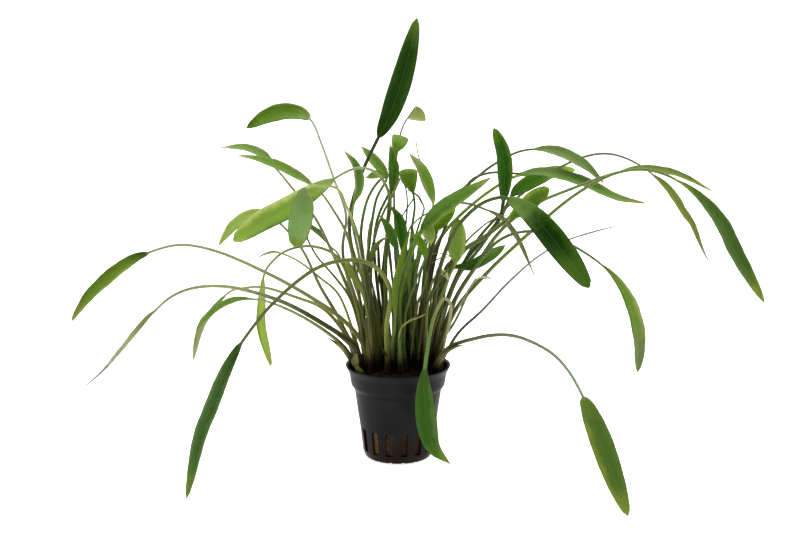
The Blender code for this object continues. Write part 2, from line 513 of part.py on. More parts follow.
def leaf_rings(route, spec):
    """Six-sided rings along a leaf: round on the stalk, flat and folded on the blade."""
    run = ring_runs(route)
    middle, width, face = leaf_frames(route, spec, run)
    share = (run - route["base"]) / (route["length"] - route["base"])
    radius = stalk_radius(route, spec, run)
    flat = np.clip(share / 0.12, 0.0, 1.0)
    least = 0.87 * radius * (1.0 - 0.6 * np.clip(share, 0.0, 1.0))
    wide = np.maximum(blade_half_width(spec, np.clip(share, 0.0, 0.985)), least)
    half = np.where(share > 0.01, wide, least)
    thick = radius + (BLADE_HALF_THICK - radius) * flat
    edge = 0.5 * radius + (BLADE_EDGE_THICK - 0.5 * radius) * flat
    fold = np.radians(spec["fold"]) * flat
    left = middle + (half * np.sin(fold))[:, None] * face - (half * np.cos(fold))[:, None] * width
    right = middle + (half * np.sin(fold))[:, None] * face + (half * np.cos(fold))[:, None] * width
    up = face * thick[:, None]
    lip = face * edge[:, None]
    return np.stack([left + lip, middle + up, right + lip, right - lip, middle - up, left - lip], axis=1)


def add_object(name, verts, faces, material):
    """A mesh object from millimetre points and faces, with its normals facing out."""
    mesh = bpy.data.meshes.new(name)
    mesh.from_pydata([tuple(point * MM) for point in np.asarray(verts)], [], faces)
    body = bmesh.new()
    body.from_mesh(mesh)
    bmesh.ops.recalc_face_normals(body, faces=body.faces)
    body.to_mesh(mesh)
    body.free()
    mesh.materials.append(material)
    mesh.shade_smooth()
    thing = bpy.data.objects.new(name, mesh)
    bpy.context.scene.collection.objects.link(thing)
    return thing


def make_material(name, colour, roughness):
    """A plain Principled material."""
    material = bpy.data.materials.new(name)
    material.use_nodes = True
    shader = material.node_tree.nodes["Principled BSDF"]
    shader.inputs["Base Color"].default_value = (*colour, 1.0)
    shader.inputs["Roughness"].default_value = roughness
    shader.inputs["Metallic"].default_value = 0.0
    return material


def build_leaf(name, route, spec, material):
    """One closed solid for a leaf."""
    rings = leaf_rings(route, spec)
    count = len(rings)
    faces = [(0, 1, 4, 5), (1, 2, 3, 4)]
    for ring in range(count - 1):
        here = 6 * ring
        for side in range(6):
            after = (side + 1) % 6
            faces.append((here + side, here + after, here + 6 + after, here + 6 + side))
    last = 6 * (count - 1)
    faces += [(last + 5, last + 4, last + 1, last), (last + 4, last + 3, last + 2, last + 1)]
    return add_object(name, rings.reshape(-1, 3), faces, material)


def pot_angles():
    """Angles of the pot's columns: the two sides of every slot."""
    step = 2 * math.pi / SLOT_COUNT
    sides = (-SLOT_HALF_ANGLE, SLOT_HALF_ANGLE)
    return [FIRST_SLOT + step * index + side for index in range(SLOT_COUNT) for side in sides]


def build_pot(material):
    """A thin cup whose panels are left out where the slots and the base notches are."""
    angles = pot_angles()
    columns = len(angles)
    rows = len(POT_OUTSIDE)
    verts = []
    for profile in (POT_OUTSIDE, POT_INSIDE):
        for radius, height in profile:
            verts += [(radius * math.cos(a), radius * math.sin(a), height) for a in angles]
    under = len(verts)
    verts += [(0.0, 0.0, 0.0), (0.0, 0.0, 1.5)]

    def spot(layer, row, column):
        return (layer * rows + row) * columns + column % columns

    faces = []
    for column in range(columns):
        faces.append((under, spot(0, 0, column + 1), spot(0, 0, column)))
        faces.append((under + 1, spot(1, 0, column), spot(1, 0, column + 1)))
        for row in range(rows - 1):
            if open_panel(column, row):
                continue
            a, b = spot(0, row, column), spot(0, row, column + 1)
            c, d = spot(0, row + 1, column + 1), spot(0, row + 1, column)
            faces.append((a, b, c, d))
            a, b = spot(1, row, column), spot(1, row, column + 1)
            c, d = spot(1, row + 1, column + 1), spot(1, row + 1, column)
            faces.append((b, a, d, c))
        top = rows - 1
        a, b = spot(0, top, column), spot(0, top, column + 1)
        faces.append((a, b, spot(1, top, column + 1), spot(1, top, column)))
        faces += opening_walls(spot, column, rows)
    return add_object("pot", verts, faces, material)


def open_panel(column, row):
    """Whether a wall panel is an opening: the long slots and the notches in the base's edge."""
    return column % 2 == 0 and row in POT_OPEN_ROWS


def opening_walls(spot, column, rows):
    """Walls through the thickness of the pot around each opening of this column."""
    walls = []
    for row in range(rows - 1):
        if not open_panel(column, row):
            continue
        for side in (column, column + 1):
            low, high = (0, row, side), (0, row + 1, side)
            walls.append((spot(*low), spot(*high), spot(1, row + 1, side), spot(1, row, side)))
        ends = [row] if row == 0 or not open_panel(column, row - 1) else []
        ends += [] if open_panel(column, row + 1) else [row + 1]
        for end in ends:
            a, b = spot(0, end, column), spot(0, end, column + 1)
            walls.append((a, b, spot(1, end, column + 1), spot(1, end, column)))
    return walls


def build_medium(material):
    """The plug of rock wool that fills the pot, with a low, uneven crown."""
    angles = np.linspace(0.0, 2 * math.pi, MEDIUM_STEPS, endpoint=False)
    profile = MEDIUM_SIDE + MEDIUM_CROWN
    verts = []
    for radius, height in profile:
        verts += [(radius * math.cos(a), radius * math.sin(a), height) for a in angles]
    bottom = len(verts)
    verts += [(0.0, 0.0, MEDIUM_SIDE[0][1]), (0.0, 0.0, MEDIUM_TOP)]
    faces = []
    for step in range(MEDIUM_STEPS):
        after = (step + 1) % MEDIUM_STEPS
        faces.append((bottom, after, step))
        for row in range(len(profile) - 1):
            here = row * MEDIUM_STEPS
            there = here + MEDIUM_STEPS
            faces.append((here + step, here + after, there + after, there + step))
        last = (len(profile) - 1) * MEDIUM_STEPS
        faces.append((bottom + 1, last + step, last + after))
    return add_object("growing_medium", verts, faces, material)


def clear_scene():
    """Removes what the scene starts with."""
    for thing in list(bpy.data.objects):
        bpy.data.objects.remove(thing, do_unlink=True)


def main():
    """Builds every piece of the plant."""
    clear_scene()
    build_pot(make_material("pot_plastic", (0.025, 0.024, 0.027), 0.45))
    build_medium(make_material("rock_wool", (0.06, 0.035, 0.02), 0.95))
    for name, route in all_routes().items():
        green = make_material(f"green_{name}", (0.07, 0.19, 0.03), 0.45)
        build_leaf(f"leaf_{name}", route, LEAVES[name], green)


main()
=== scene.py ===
"""Potted cryptocoryne: the looks of the net pot, its rock wool and every leaf, in the photo's studio."""

import math
import random

import bmesh
import bpy
import numpy as np
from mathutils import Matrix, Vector, noise


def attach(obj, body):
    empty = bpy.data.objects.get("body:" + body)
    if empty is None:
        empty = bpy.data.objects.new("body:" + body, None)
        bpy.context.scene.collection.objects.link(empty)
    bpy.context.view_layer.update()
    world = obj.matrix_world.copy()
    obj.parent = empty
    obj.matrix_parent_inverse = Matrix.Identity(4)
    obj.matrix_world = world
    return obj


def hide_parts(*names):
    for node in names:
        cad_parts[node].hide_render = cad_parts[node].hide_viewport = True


MM = 0.001

# The camera, in millimetres and degrees. Every "seen" point lies on a line from its eye.
EYE_X, EYE_AHEAD, EYE_Z = 1.05, 1125.4, 362.3
LENS = 100.0
SENSOR_WIDTH = 36.0
CAMERA_TILT = 77.0

# Pot, in millimetres: its outlines run from the middle of the floor to the rim, as radius and height.
POT_HEIGHT = 50.0
FLOOR_THICK = 1.5
FOOT_TOP = 3.0
SLOT_BOTTOM = 4.6
SLOT_TOP = 17.0
POT_OUTSIDE = [
    (0.0, 0.0), (16.0, 0.0), (17.4, 1.0), (18.2, FOOT_TOP), (18.6, SLOT_BOTTOM), (20.0, SLOT_TOP),
    (22.9, 37.3), (24.6, 39.4), (25.6, 46.0), (27.3, 49.2), (27.6, POT_HEIGHT),
]
POT_INSIDE = [
    (0.0, FLOOR_THICK), (15.6, FLOOR_THICK), (16.5, 2.0), (17.1, FOOT_TOP), (17.5, SLOT_BOTTOM),
    (18.9, SLOT_TOP), (21.8, 37.6), (23.5, 39.9), (24.5, 46.0), (25.7, 49.4), (26.5, POT_HEIGHT),
]
POT_COLUMNS = 180
POT_CORNER = 1.3
POT_CORNER_STEPS = 5
POT_SHARP_ANGLE = math.radians(38)

# Openings of the pot's wall: width, lowest and highest point, distance of the cut from the axis, corners.
SLOT = (4.6, SLOT_BOTTOM, SLOT_TOP, 12.0, 0.7)
NOTCH = (2.6, -1.0, 1.5, 14.6, 0.4)
SLOT_COUNT = 15
FIRST_SLOT = math.radians(-90.0 + 9.8)
CUTTER_REACH = 24.0

# Rock wool plug, as radius and height, its lumps, and the rootlets over its crown.
MEDIUM_TOP = 48.0
MEDIUM_SIDE = [(15.9, 2.1), (16.8, 3.0), (18.5, SLOT_TOP), (21.4, 37.4), (23.1, 40.1), (23.8, 44.2)]
MEDIUM_CROWN = [(17.0, 46.6), (9.0, 47.6)]
MEDIUM_COLUMNS = 150
LUMP_SEED = 5
LUMP_SIZE = 0.75
LUMPY_HEIGHT = 42.0
ROOTLET_COUNT = 70
ROOTLET_RINGS = 8
ROOTLET_POINTS = 5
ROOTLET_STEP = 1.3
ROOTLET_RADII = (0.12, 0.34)
ROOTLET_START = 19.5
ROOTLET_EDGE = 20.8
ROOTLET_INSIDE = 20.5

# Places of the leaves: their roots, and the solver that keeps them apart in depth.
ROOT_GAP = 1.25
STATIONS = 30
SPACE_BETWEEN = 0.55
PUSH_ROUNDS = 400
CROSSING_STATIONS = 6
ROOT_STATIONS = 7
MOST_SHIFT = 22.0
ROOT_SPACE = 3.45
ROOT_REACH = 20.9
RIM_HEIGHT = 54.0
RIM_REACH = 24.6
FOLD = 16.0
SPAN_STEPS = 24
ROUTE_KEYS = ("run", "across", "up", "depth")

# Fine shape of the leaves, in millimetres.
RING_POINTS = 20
STALK_RING_STEP = 2.2
BLADE_RING_STEP = 1.3
FOOT_DEPTH = 3.5
FOOT_SWELL = 0.22
FOOT_SWELL_REACH = 5.0
BLADE_THICK = 0.19
RIB_DEPTH = 0.28
RIB_WIDTH = 0.55
RIPPLE = 0.035
RIPPLE_WAVES = (13.0, 6.1)

# Stalk radii and blade widths, in millimetres, of the leaves whose fine mesh differs from the solid.
FINER = {
    "front": {"stem": (0.6, 0.95)}, "right_low": {"stem": (1.15, 0.72)},
    "young_centre": {"stem": (0.85, 0.5), "width": 1.1},
    "left_edge": {"width": 7.8}, "left_hook_b": {"width": 5.9},
}

# Sheaths round the feet of the stalks: sizes in millimetres, and half the wrap round the stalk in degrees.
SHEATHS_PER_STALK = (0, 1, 1, 2)
SHEATH_LENGTHS = (8.0, 27.0)
SHEATH_RINGS = 11
SHEATH_POINTS = 14
SHEATH_THICK = 0.14
SHEATH_LEANS = (0.4, 1.3)
SHEATH_WRAPS = (70.0, 130.0)

# Young stalks beside older ones: how many, the longest in millimetres, and how green the tip is.
SPROUTS = {
    "left_strap": (2, 34.0, -0.2), "left_facing": (2, 60.0, -0.3), "left_long_dark": (1, 36.0, -0.3),
    "top_tall": (2, 75.0, -0.4), "top_left_a": (1, 60.0, -0.2), "top_left_b": (1, 70.0, -0.2),
    "top_dark": (2, 95.0, -0.2), "top_fan_left": (2, 85.0, -0.1), "top_twisted": (1, 50.0, -0.2),
    "left_hidden": (1, 60.0, -0.3), "short_arch": (1, 40.0, -0.2), "centre_dark_left": (2, 55.0, -0.2),
    "hidden_centre": (3, 95.0, -0.1), "top_small": (3, 85.0, -0.1), "centre_strap": (1, 26.0, -0.4),
    "right_long": (1, 22.0, -0.4), "centre_bright": (1, 42.0, -0.2), "centre_dark_right": (1, 36.0, -0.5),
    "centre_brown": (1, 30.0, -0.5), "top_fan_right": (3, 85.0, -0.1), "right_drooping": (3, 60.0, -0.3),
    "centre_light": (2, 60.0, -0.2), "right_bright": (3, 62.0, -0.3), "right_light": (2, 42.0, -0.1),
    "right_dark": (2, 44.0, -0.4), "top_pale": (3, 75.0, -0.1), "right_arch_low": (3, 66.0, -0.3),
    "right_arch_high": (3, 66.0, -0.3), "right_behind": (3, 70.0, -0.2), "right_thin": (2, 52.0, -0.4),
    "hidden_right": (4, 76.0, -0.3), "right_big": (1, 26.0, -0.5), "right_upright": (3, 56.0, -0.4),
    "right_dark_short": (2, 50.0, -0.3), "right_olive": (1, 36.0, -0.3), "far_right": (1, 26.0, -0.5),
    "right_twin": (1, 30.0, -0.5), "pale_wisp": (1, 20.0, -0.3), "upper_left": (1, 30.0, -0.4),
}
SPROUT_LEANS = (0.3, 3.4)
SPROUT_RADII = (0.52, 0.78)
SPROUT_BLADES = (0.3, 1.4)
SPROUT_RINGS = 20
TUBE_POINTS = 8
BROWN_SIDE = 7.0

# Thin stems, and the tip of leaf_left_edge, with routes of their own, seen from the front as across and up:
# how far ahead the two ends lie, the radius there, their place between stalk foot and blade, papery share.
WISPS = {
    "left_broad": [
        ([(-15.1, 51.5), (-16.6, 60.6), (-17.7, 76.6), (-16.1, 92.6), (-14.0, 108.6), (-10.9, 122.0),
          (-7.3, 131.6), (-3.1, 139.6), (1.05, 149.2)], (-12.0, -14.0), (0.9, 0.6), (-0.42, -0.2), 0.0),
    ],
    "top_fan_right": [
        ([(2.1, 53.7), (2.1, 68.6), (2.6, 84.6), (3.1, 111.3), (4.2, 126.2), (4.7, 132.6), (4.7, 139.0),
          (3.7, 144.9), (1.6, 148.1)], (-11.0, -13.0), (0.6, 0.35), (-0.9, -0.4), 0.1),
        ([(-1.5, 122.0), (2.4, 129.6), (7.8, 138.2)], (-14.0, -19.0), (0.44, 0.4), (-0.6, -0.4), 0.1),
    ],
    "centre_light": [
        ([(2.6, 51.0), (3.2, 66.0), (4.2, 78.2), (6.3, 85.7), (8.9, 93.2), (11.5, 100.6), (14.6, 108.1)],
         (7.0, 24.0), (0.8, 0.42), (-0.96, -0.3), 0.2),
        ([(6.4, 51.0), (8.0, 66.0), (9.4, 79.3), (12.0, 86.8), (14.1, 93.2), (15.1, 99.6)],
         (6.0, 22.0), (0.75, 0.4), (-0.98, -0.5), 0.35),
    ],
    "centre_bright": [
        ([(-1.6, 51.0), (-1.0, 70.0), (0.0, 86.8), (2.1, 95.3), (4.2, 102.8), (6.8, 110.2), (9.9, 116.6)],
         (8.0, 27.0), (0.8, 0.5), (-0.96, -0.2), 0.1),
        ([(10.2, 51.0), (12.0, 66.0), (13.5, 78.2), (16.7, 85.7), (19.8, 92.1), (22.9, 96.9),
          (26.5, 101.7)], (7.0, 24.0), (0.8, 0.42), (-0.98, -0.4), 0.35),
    ],
    "left_edge": [
        ([(-152.4, 49.4), (-157.5, 44.1), (-161.2, 40.9), (-164.1, 38.2)], (43.5, 46.0), (0.62, 0.34),
         (0.8, 1.0), 0.0),
    ],
    "top_pale": [
        ([(11.6, 157.0), (10.3, 162.0), (9.6, 166.0), (9.1, 169.6)], (-36.0, -37.0), (0.34, 0.26),
         (0.2, 0.5), 0.0),
    ],
    "pale_wisp": [
        ([(30.7, 79.3), (35.4, 87.8), (39.5, 94.4), (41.1, 95.9), (43.7, 96.8), (46.3, 96.8), (48.4, 95.9)],
         (9.0, 13.0), (0.5, 0.45), (-0.5, 0.6), 0.0),
    ],
    "right_long": [
        ([(3.6, 112.0), (5.6, 121.6), (8.1, 125.3), (12.3, 129.0), (17.0, 131.5)], (2.0, 4.0), (0.48, 0.44),
         (-0.6, -0.2), 0.1),
    ],
    "right_light": [
        ([(17.6, 109.3), (22.0, 109.6), (26.9, 108.3)], (20.0, 30.0), (0.34, 0.3), (-0.7, -0.7), 0.3),
        ([(17.6, 104.4), (21.7, 106.9), (27.3, 107.7)], (20.0, 30.0), (0.36, 0.3), (-0.7, -0.7), 0.3),
    ],
}

# What the seven colours of a leaf's look are for, and how its linear colours are scaled.
# The two edge colours are partly the blade's own tones and partly painted light and shade: where they
# differ, they paint the lit half and the shaded half of a folded blade. The foot colour is partly the
# stalk's own darker foot and partly painted shade where the stalks crowd together low in the crown.
LOOK_KEYS = ("low_edge", "middle", "high_edge", "tip", "base", "stalk", "foot")
BLADE_TUNE = (1.06, 0.85, 0.68)
STALK_TUNE = (1.76, 1.67, 1.62)
FOOT_TUNE = (2.0, 2.02, 1.45)

# Tints of veins, underside and stalk streaks, and of light on its way through a blade.
VEIN_TINT = (0.42, 0.5, 0.14, 1.0)
UNDERSIDE_TINT = (0.3, 0.42, 0.16, 1.0)
STREAK_TINT = (0.02, 0.02, 0.008, 1.0)
THROUGH_TINT = (1.3, 1.45, 0.95, 1.0)

# How the leaf's pattern is laid out: waves of side veins from edge to edge, and a step from leaf to leaf.
VEIN_WAVES = 3.5
GRAIN_STEP = 37.0

# Papery sheaths, and painted shade that darkens the feet of the stalks between two heights in metres.
HUSK_COLOURS = ("3a2c17", "5f5330")
FOOT_SHADE_COLOUR = "2a2210"
FOOT_SHADE_HEIGHTS = (0.0605, 0.0515)

# The pot's plastic, its damp foot, painted shade on its collar step, and dust. Heights are in metres.
PLASTIC_COLOURS = ("141315", "1d1b1e")
DAMP_COLOUR = "1b0f08"
DAMP_HEIGHTS = (0.026, 0.008)
STEP_SHADE_COLOUR = "080809"
STEP_SHADE_LOW = (0.0355, 0.0372)
STEP_SHADE_HIGH = (0.0402, 0.0388)
DUST_COLOUR = "6a655e"

# The rock wool, its fibres and rust, the peat on its right side and the painted shade that darkens its
# crown. Places are in metres.
WOOL_COLOURS = ("21160f", "5c4526")
FIBRE_COLOUR = "7a6238"
RUST_COLOUR = "4a1f10"
PEAT_COLOUR = "1c120e"
PEAT_SIDE = (-0.0025, 0.0008)
CROWN_SHADE_COLOUR = "1c140b"
CROWN_SHADE_HEIGHTS = (0.036, 0.044)

# Shine of the surfaces.
LEAF_SHINE = 0.08
PLASTIC_SHINE = 0.06
WOOL_SHINE = 0.12

# Studio: the white floor, the sky, and soft boxes with their place, size and power, in metres and watts.
WHITE = (1.0, 1.0, 1.0, 1.0)
FLOOR_COLOUR = (0.9, 0.9, 0.9, 1.0)
FLOOR_CORNERS = [(-1100, -380, -0.2), (1100, -380, -0.2), (1100, 2700, -0.2), (-1100, 2700, -0.2)]
FLOOR_GLOW = 0.8
SKY_LOW = 0.3
SKY_TOP = 0.9
SKY_FRONT = 0.25
LIGHT_AIM = (0.0, 0.0, 0.1)
LIGHTS = {
    "top_box": ((0.0, 0.15, 0.95), (0.9, 0.7), 9.0),
    "left_box": ((-0.85, -0.15, 0.4), (0.5, 0.8), 3.5),
    "right_box": ((0.85, -0.1, 0.45), (0.5, 0.8), 3.5),
    "back_box": ((0.0, 1.1, 0.5), (1.4, 0.6), 5.0),
}


def leaf(root, stalk, blade, ahead, width, turn, stem=(1.3, 0.5), peak=0.45, ends=(0.75, 0.8), fold=FOLD):
    """One leaf, seen from the front.

    root is its place on the plug, as across and ahead. stalk and blade are its route, and ahead says how
    near its stalk's middle, its blade's base and its tip are. turn is how far the blade is turned from the
    viewer at its base and tip. stem is the stalk's radius at its root and end. peak is where the blade is
    widest, and ends are lower where its base and tip are blunter. fold is how far its halves are raised.
    """
    return {
        "root": root, "stalk": stalk, "blade": blade, "ahead": ahead, "width": width,
        "turn": turn, "stem": stem, "peak": peak, "ends": ends, "fold": fold,
    }


LEAVES = {
    "far_left": leaf(
        (-16, 2), [(-19, 62), (-29.8, 74.8), (-47, 87), (-67, 98.4), (-92, 109.8), (-112, 114),
        (-129, 110)], [(-143, 102), (-160, 87), (-170.8, 72.8)], (4, 16, 26), 9.5, (-40, -48),
        (1.4, 0.65), 0.45, (0.5, 0.6)),
    "left_edge": leaf(
        (-17, 2.7), [(-23, 59.7), (-38, 71), (-59, 83), (-81.4, 90.3), (-98, 92), (-113, 89),
        (-125, 80.7)], [(-139.5, 63.5), (-155, 45.8), (-168.2, 35.4)], (22, 36, 46), 9.5, (-68, -76),
        (1.6, 0.7), 0.25, (0.8, 1)),
    "left_hook_a": leaf(
        (-19, -6.4), [(-26, 64), (-38.2, 79.3), (-52.8, 85.9), (-70, 91.3), (-83, 90.5), (-89, 88)],
        [(-96, 78.7), (-102.4, 69.5), (-107.4, 51.5)], (-5, -9, -4), 8.0, (-60, -60), (1.3, 0.6), 0.5,
        (0.7, 0.6)),
    "left_hook_b": leaf(
        (-20.5, -2.9), [(-28.6, 59.5), (-39.4, 68.7), (-52.6, 77), (-66, 83), (-75, 85)], [(-86, 84),
        (-96, 78.3), (-105, 69)], (4, 8, 14), 7.0, (-52, -56), (1.3, 0.6)),
    "left_yellow": leaf(
        (-17.5, -8.4), [(-19, 70), (-23.3, 89), (-31, 107), (-44, 113.2), (-57.7, 111), (-66, 104.2),
        (-70, 96.7)], [(-71.8, 78), (-71.5, 68), (-66.6, 48.4)], (-13, -18, -12), 5.8, (30, 20),
        (1.3, 0.6), 0.5, (0.45, 0.5)),
    "left_long_dark": leaf(
        (-5, 6.9), [(-6, 70), (-4, 90), (-14.3, 104), (-31, 105.3), (-46.8, 98.8), (-66.2, 81.7),
        (-82, 61.5)], [(-91, 46), (-99, 26.5), (-106, 8), (-112.8, -24.6)], (26, 60, 86), 8.0, (22, 25),
        (1.5, 0.8), 0.42, (0.42, 0.5)),
    "upper_left": leaf(
        (-10.5, -16.5), [(-20, 75), (-28.5, 108), (-26.9, 129.7), (-33.2, 149.3), (-40.2, 169.7),
        (-45, 180)], [(-55, 183.4), (-66, 181.4), (-77.8, 175.2)], (-34, -44, -50), 10.4, (-25, -30),
        (1.2, 0.6), 0.45, (0.4, 0.65)),
    "left_upper_a": leaf(
        (-12.5, -6.8), [(-20, 85), (-25.4, 116), (-33.8, 133), (-42.7, 144.3)], [(-59, 154), (-72, 158.8),
        (-83, 161.1)], (-16, -26, -32), 8.0, (-40, -60), (1.3, 0.6)),
    "left_upper_b": leaf(
        (-14.8, -11.5), [(-24, 85), (-36, 114.2), (-43.5, 129.3), (-56.2, 146.1), (-63.5, 155)],
        [(-70, 161.3), (-80, 164.8), (-92, 165)], (-26, -42, -58), 8.0, (-45, -66), (1.3, 0.6)),
    "left_broad": leaf(
        (-11, 1.3), [(-8, 63), (-6.4, 80), (-6.5, 98), (-5.5, 125), (-4.9, 142), (-12.9, 153.2),
        (-23.7, 153.8), (-33, 148.7)], [(-56, 134), (-70, 126.5), (-85.4, 116)], (2, 22, 36), 12.0,
        (-12, -12), (1.4, 0.65), 0.55, (0.5, 0.38)),
    "left_facing": leaf(
        (-10, 4.1), [(-14, 80), (-20.3, 116.7), (-27.2, 136), (-31, 143.8), (-38, 144.6), (-46.5, 144)],
        [(-49.5, 132), (-51, 124), (-53, 112.4)], (8, 30, 56), 12.5, (5, 0), (1.3, 0.55), 0.55,
        (0.45, 0.35)),
    "left_under": leaf(
        (-20.5, -8.2), [(-30.6, 74), (-40.6, 92), (-50, 112), (-63, 127)], [(-73, 130), (-84, 124.5),
        (-93.2, 113.2)], (-10, -12, -8), 8.0, (-30, -46), (1.3, 0.6), 0.5, (0.6, 0.7)),
    "left_wisp": leaf(
        (-19.5, -11.3), [(-29.4, 84.5), (-41, 96.8), (-52, 105.5), (-60.8, 109.6)], [(-65.5, 109.8),
        (-69, 108.8), (-73.5, 107)], (-26, -36, -40), 3.6, (-60, -70), (0.9, 0.55)),
    "left_hidden": leaf(
        (-6.5, -19), [(-20, 80), (-30, 107), (-35.5, 113.5)], [(-40, 119), (-45, 123), (-50, 128)],
        (-34, -50, -60), 6.0, (-50, -60)),
    "top_tall": leaf(
        (-9, -7.1), [(-13, 76.5), (-16.8, 92.2), (-24.2, 113.4), (-24.5, 132), (-18.6, 151.8),
        (-10, 170.5)], [(-4, 182.5), (2.4, 201), (7, 219), (9.7, 231.7)], (-8, -12, -8), 11.6, (6, 10),
        (1.3, 0.9), 0.42, (0.45, 0.52)),
    "top_small": leaf(
        (3, -17.6), [(1, 90), (-2, 140), (1.2, 171.7), (6.9, 183.1), (10.4, 187.4)], [(10.2, 184),
        (9.8, 181.5), (9.6, 179)], (-30, -56, -64), 9.6, (0, 0), (1.1, 0.4), 0.9, (1, 0.3), 3.0),
    "top_fan_left": leaf(
        (-6, -16.2), [(-12, 105), (-11, 126), (-5.4, 139.7), (-1, 149), (-1.2, 161.5)], [(-0.4, 165.5),
        (0.8, 168.5), (1.6, 171.4)], (-24, -34, -40), 9.0, (0, 0), (1.1, 0.65), 0.88, (0.9, 0.3), 5.0),
    "top_dark": leaf(
        (-4.5, -10.6), [(-8, 90), (-6, 118), (-4, 132), (-3.6, 141)], [(-2.7, 150), (-3.2, 158),
        (-4.2, 167)], (-12, -18, -20), 8.0, (-35, -45), (1.3, 0.6)),
    "top_fan_right": leaf(
        (6, -12), [(6, 90), (7, 120), (8.6, 133), (8, 140.5)], [(6.6, 146), (5.6, 150), (5.2, 154.2)],
        (-14, -22, -26), 9.8, (0, 0), (1.1, 0.6), 0.86, (1, 0.3), 5.0),
    "top_pale": leaf(
        (13, -10.6), [(13, 90), (16.5, 115), (18.2, 135)], [(16.6, 144), (12.5, 154.5), (5.6, 162.3)],
        (-18, -30, -36), 7.4, (25, 30), (1.3, 0.6)),
    "top_twisted": leaf(
        (-10.5, -3), [(-16, 85), (-21, 112), (-23.5, 125), (-23, 135)], [(-19.8, 144), (-21.3, 155),
        (-28, 163.7)], (-6, -6, -8), 5.4, (35, -35), (1.3, 0.6)),
    "top_left_a": leaf(
        (-8, -13), [(-15.5, 97), (-14.6, 116.7), (-13, 129), (-10.8, 139.2), (-5.5, 150)], [(-9.5, 155),
        (-14, 160.5), (-19, 165.8)], (-20, -28, -34), 6.4, (-20, -25), (1.3, 0.7)),
    "top_left_b": leaf(
        (-13.5, -10), [(-17.9, 106), (-19.2, 120), (-16.2, 136.7), (-10.1, 147.5), (-5, 150.3)],
        [(-9, 151.4), (-13, 150.6), (-16.6, 149.3)], (-24, -36, -44), 5.0, (-20, -20), (1.3, 0.7)),
    "centre_dark_left": leaf(
        (-2, -4), [(-2, 80), (0.5, 100), (0, 110.5)], [(-2.5, 116), (-6, 124), (-9.7, 129.7)],
        (5, 10, 18), 5.8, (-20, -30), (1.3, 0.7)),
    "centre_dark_right": leaf(
        (3.5, -7.1), [(4.6, 56), (2.2, 68), (0.2, 82), (1.2, 98), (2, 110)], [(2.6, 118), (1, 128),
        (-4, 135)], (-5, -6, -4), 6.6, (20, 30), (1.3, 0.8)),
    "centre_strap": leaf(
        (-1.5, 3.8), [(-3, 60), (-1.6, 72)], [(-1.7, 89), (1, 103.3), (6, 121)], (16, 18, 26), 4.4,
        (-30, -20), (1.3, 0.7)),
    "centre_bright": leaf(
        (8, -3.2), [(6, 90), (6.5, 112), (7, 119)], [(10, 117.5), (13, 112), (14.5, 105.5)], (8, 16, 24),
        5.0, (20, 10), (1.3, 0.7)),
    "centre_light": leaf(
        (10.8, -1), [(9, 90), (11.5, 118), (14, 126)], [(14.6, 124.4), (15.8, 120), (17.2, 114.6)],
        (2, 6, 14), 7.4, (15, 10), (1.3, 0.6), 0.5, (0.5, 0.5)),
    "right_long": leaf(
        (3.5, 6), [(1.5, 69.5), (0.6, 81.8), (1.8, 94), (4.6, 104), (8.4, 113.6), (12, 121.5)],
        [(20, 131.5), (31, 139.8), (47.7, 149.6)], (10, 7, 14), 8.6, (-10, -40), (1.3, 1.1), 0.42,
        (0.5, 0.7)),
    "right_bright": leaf(
        (13, -4.7), [(13, 90), (14.5, 112), (17, 120)], [(21, 125), (25, 128.5), (29.8, 133)], (2, 4, 2),
        6.4, (-15, -20)),
    "right_light": leaf(
        (14.5, -1.2), [(19, 75), (25, 93), (29.5, 104)], [(30.4, 112), (31.2, 120), (31.5, 127.8)],
        (2, 8, 9), 10.4, (10, 15), (1.2, 0.6), 0.5, (0.7, 0.6)),
    "right_dark": leaf(
        (15.6, -6.2), [(20, 75), (25.5, 93), (29, 101.5)], [(38, 103.2), (46.5, 108), (55.8, 114)],
        (-2, 4, 10), 6.8, (-20, -25), (1.2, 0.6), 0.62, (0.5, 0.7)),
    "right_upright": leaf(
        (17.3, -8.8), [(24, 80), (34, 104), (46, 119), (52.5, 128), (54.3, 136.5)], [(54.9, 149),
        (53.8, 162), (49, 175.3)], (-13, -10, -4), 8.8, (-15, -20), (1.3, 1), 0.5, (0.5, 0.45)),
    "right_arch_high": leaf(
        (9, -8.5), [(15, 100), (25, 133), (42.5, 151.2), (57.6, 161.1), (68.6, 164.2)], [(82, 162.7),
        (96, 155.5), (106.3, 146.2)], (-18, -22, -14), 8.6, (46, 46), (1.3, 0.6)),
    "right_arch_low": leaf(
        (12.5, -13.4), [(20, 110), (35.7, 145.3), (46, 151.6), (55, 152), (61.3, 151.4)], [(76, 152),
        (95, 146.9), (113, 138.7), (128.7, 135.8)], (-24, -18, -10), 8.6, (47, 47), (1.1, 0.6), 0.38,
        (0.6, 0.7)),
    "right_behind": leaf(
        (7.5, -17.9), [(17.2, 103.5), (23.6, 119.9), (37.5, 134.6), (51.5, 145.3), (60.9, 150.2)],
        [(70, 151.8), (80, 153.3), (91.5, 153.4)], (-26, -36, -40), 5.0, (5, 0), (1.4, 0.8), 0.7,
        (0.6, 0.5)),
    "right_dark_short": leaf(
        (17.5, -12), [(29, 92), (43, 113), (53, 128), (58.3, 139.5)], [(64, 144.5), (71, 148),
        (80, 149.6)], (-20, -22, -28), 8.0, (5, 10), (1.2, 0.8), 0.45, (0.6, 0.8)),
    "right_olive": leaf(
        (17.6, -2.8), [(24, 90), (33, 109.6), (45, 118.3), (56, 127)], [(63, 132.5), (71, 139.5),
        (78, 143.8)], (4, 8, 2), 9.2, (-15, -15), (1.5, 1.1), 0.6, (0.8, 0.4)),
    "right_big": leaf(
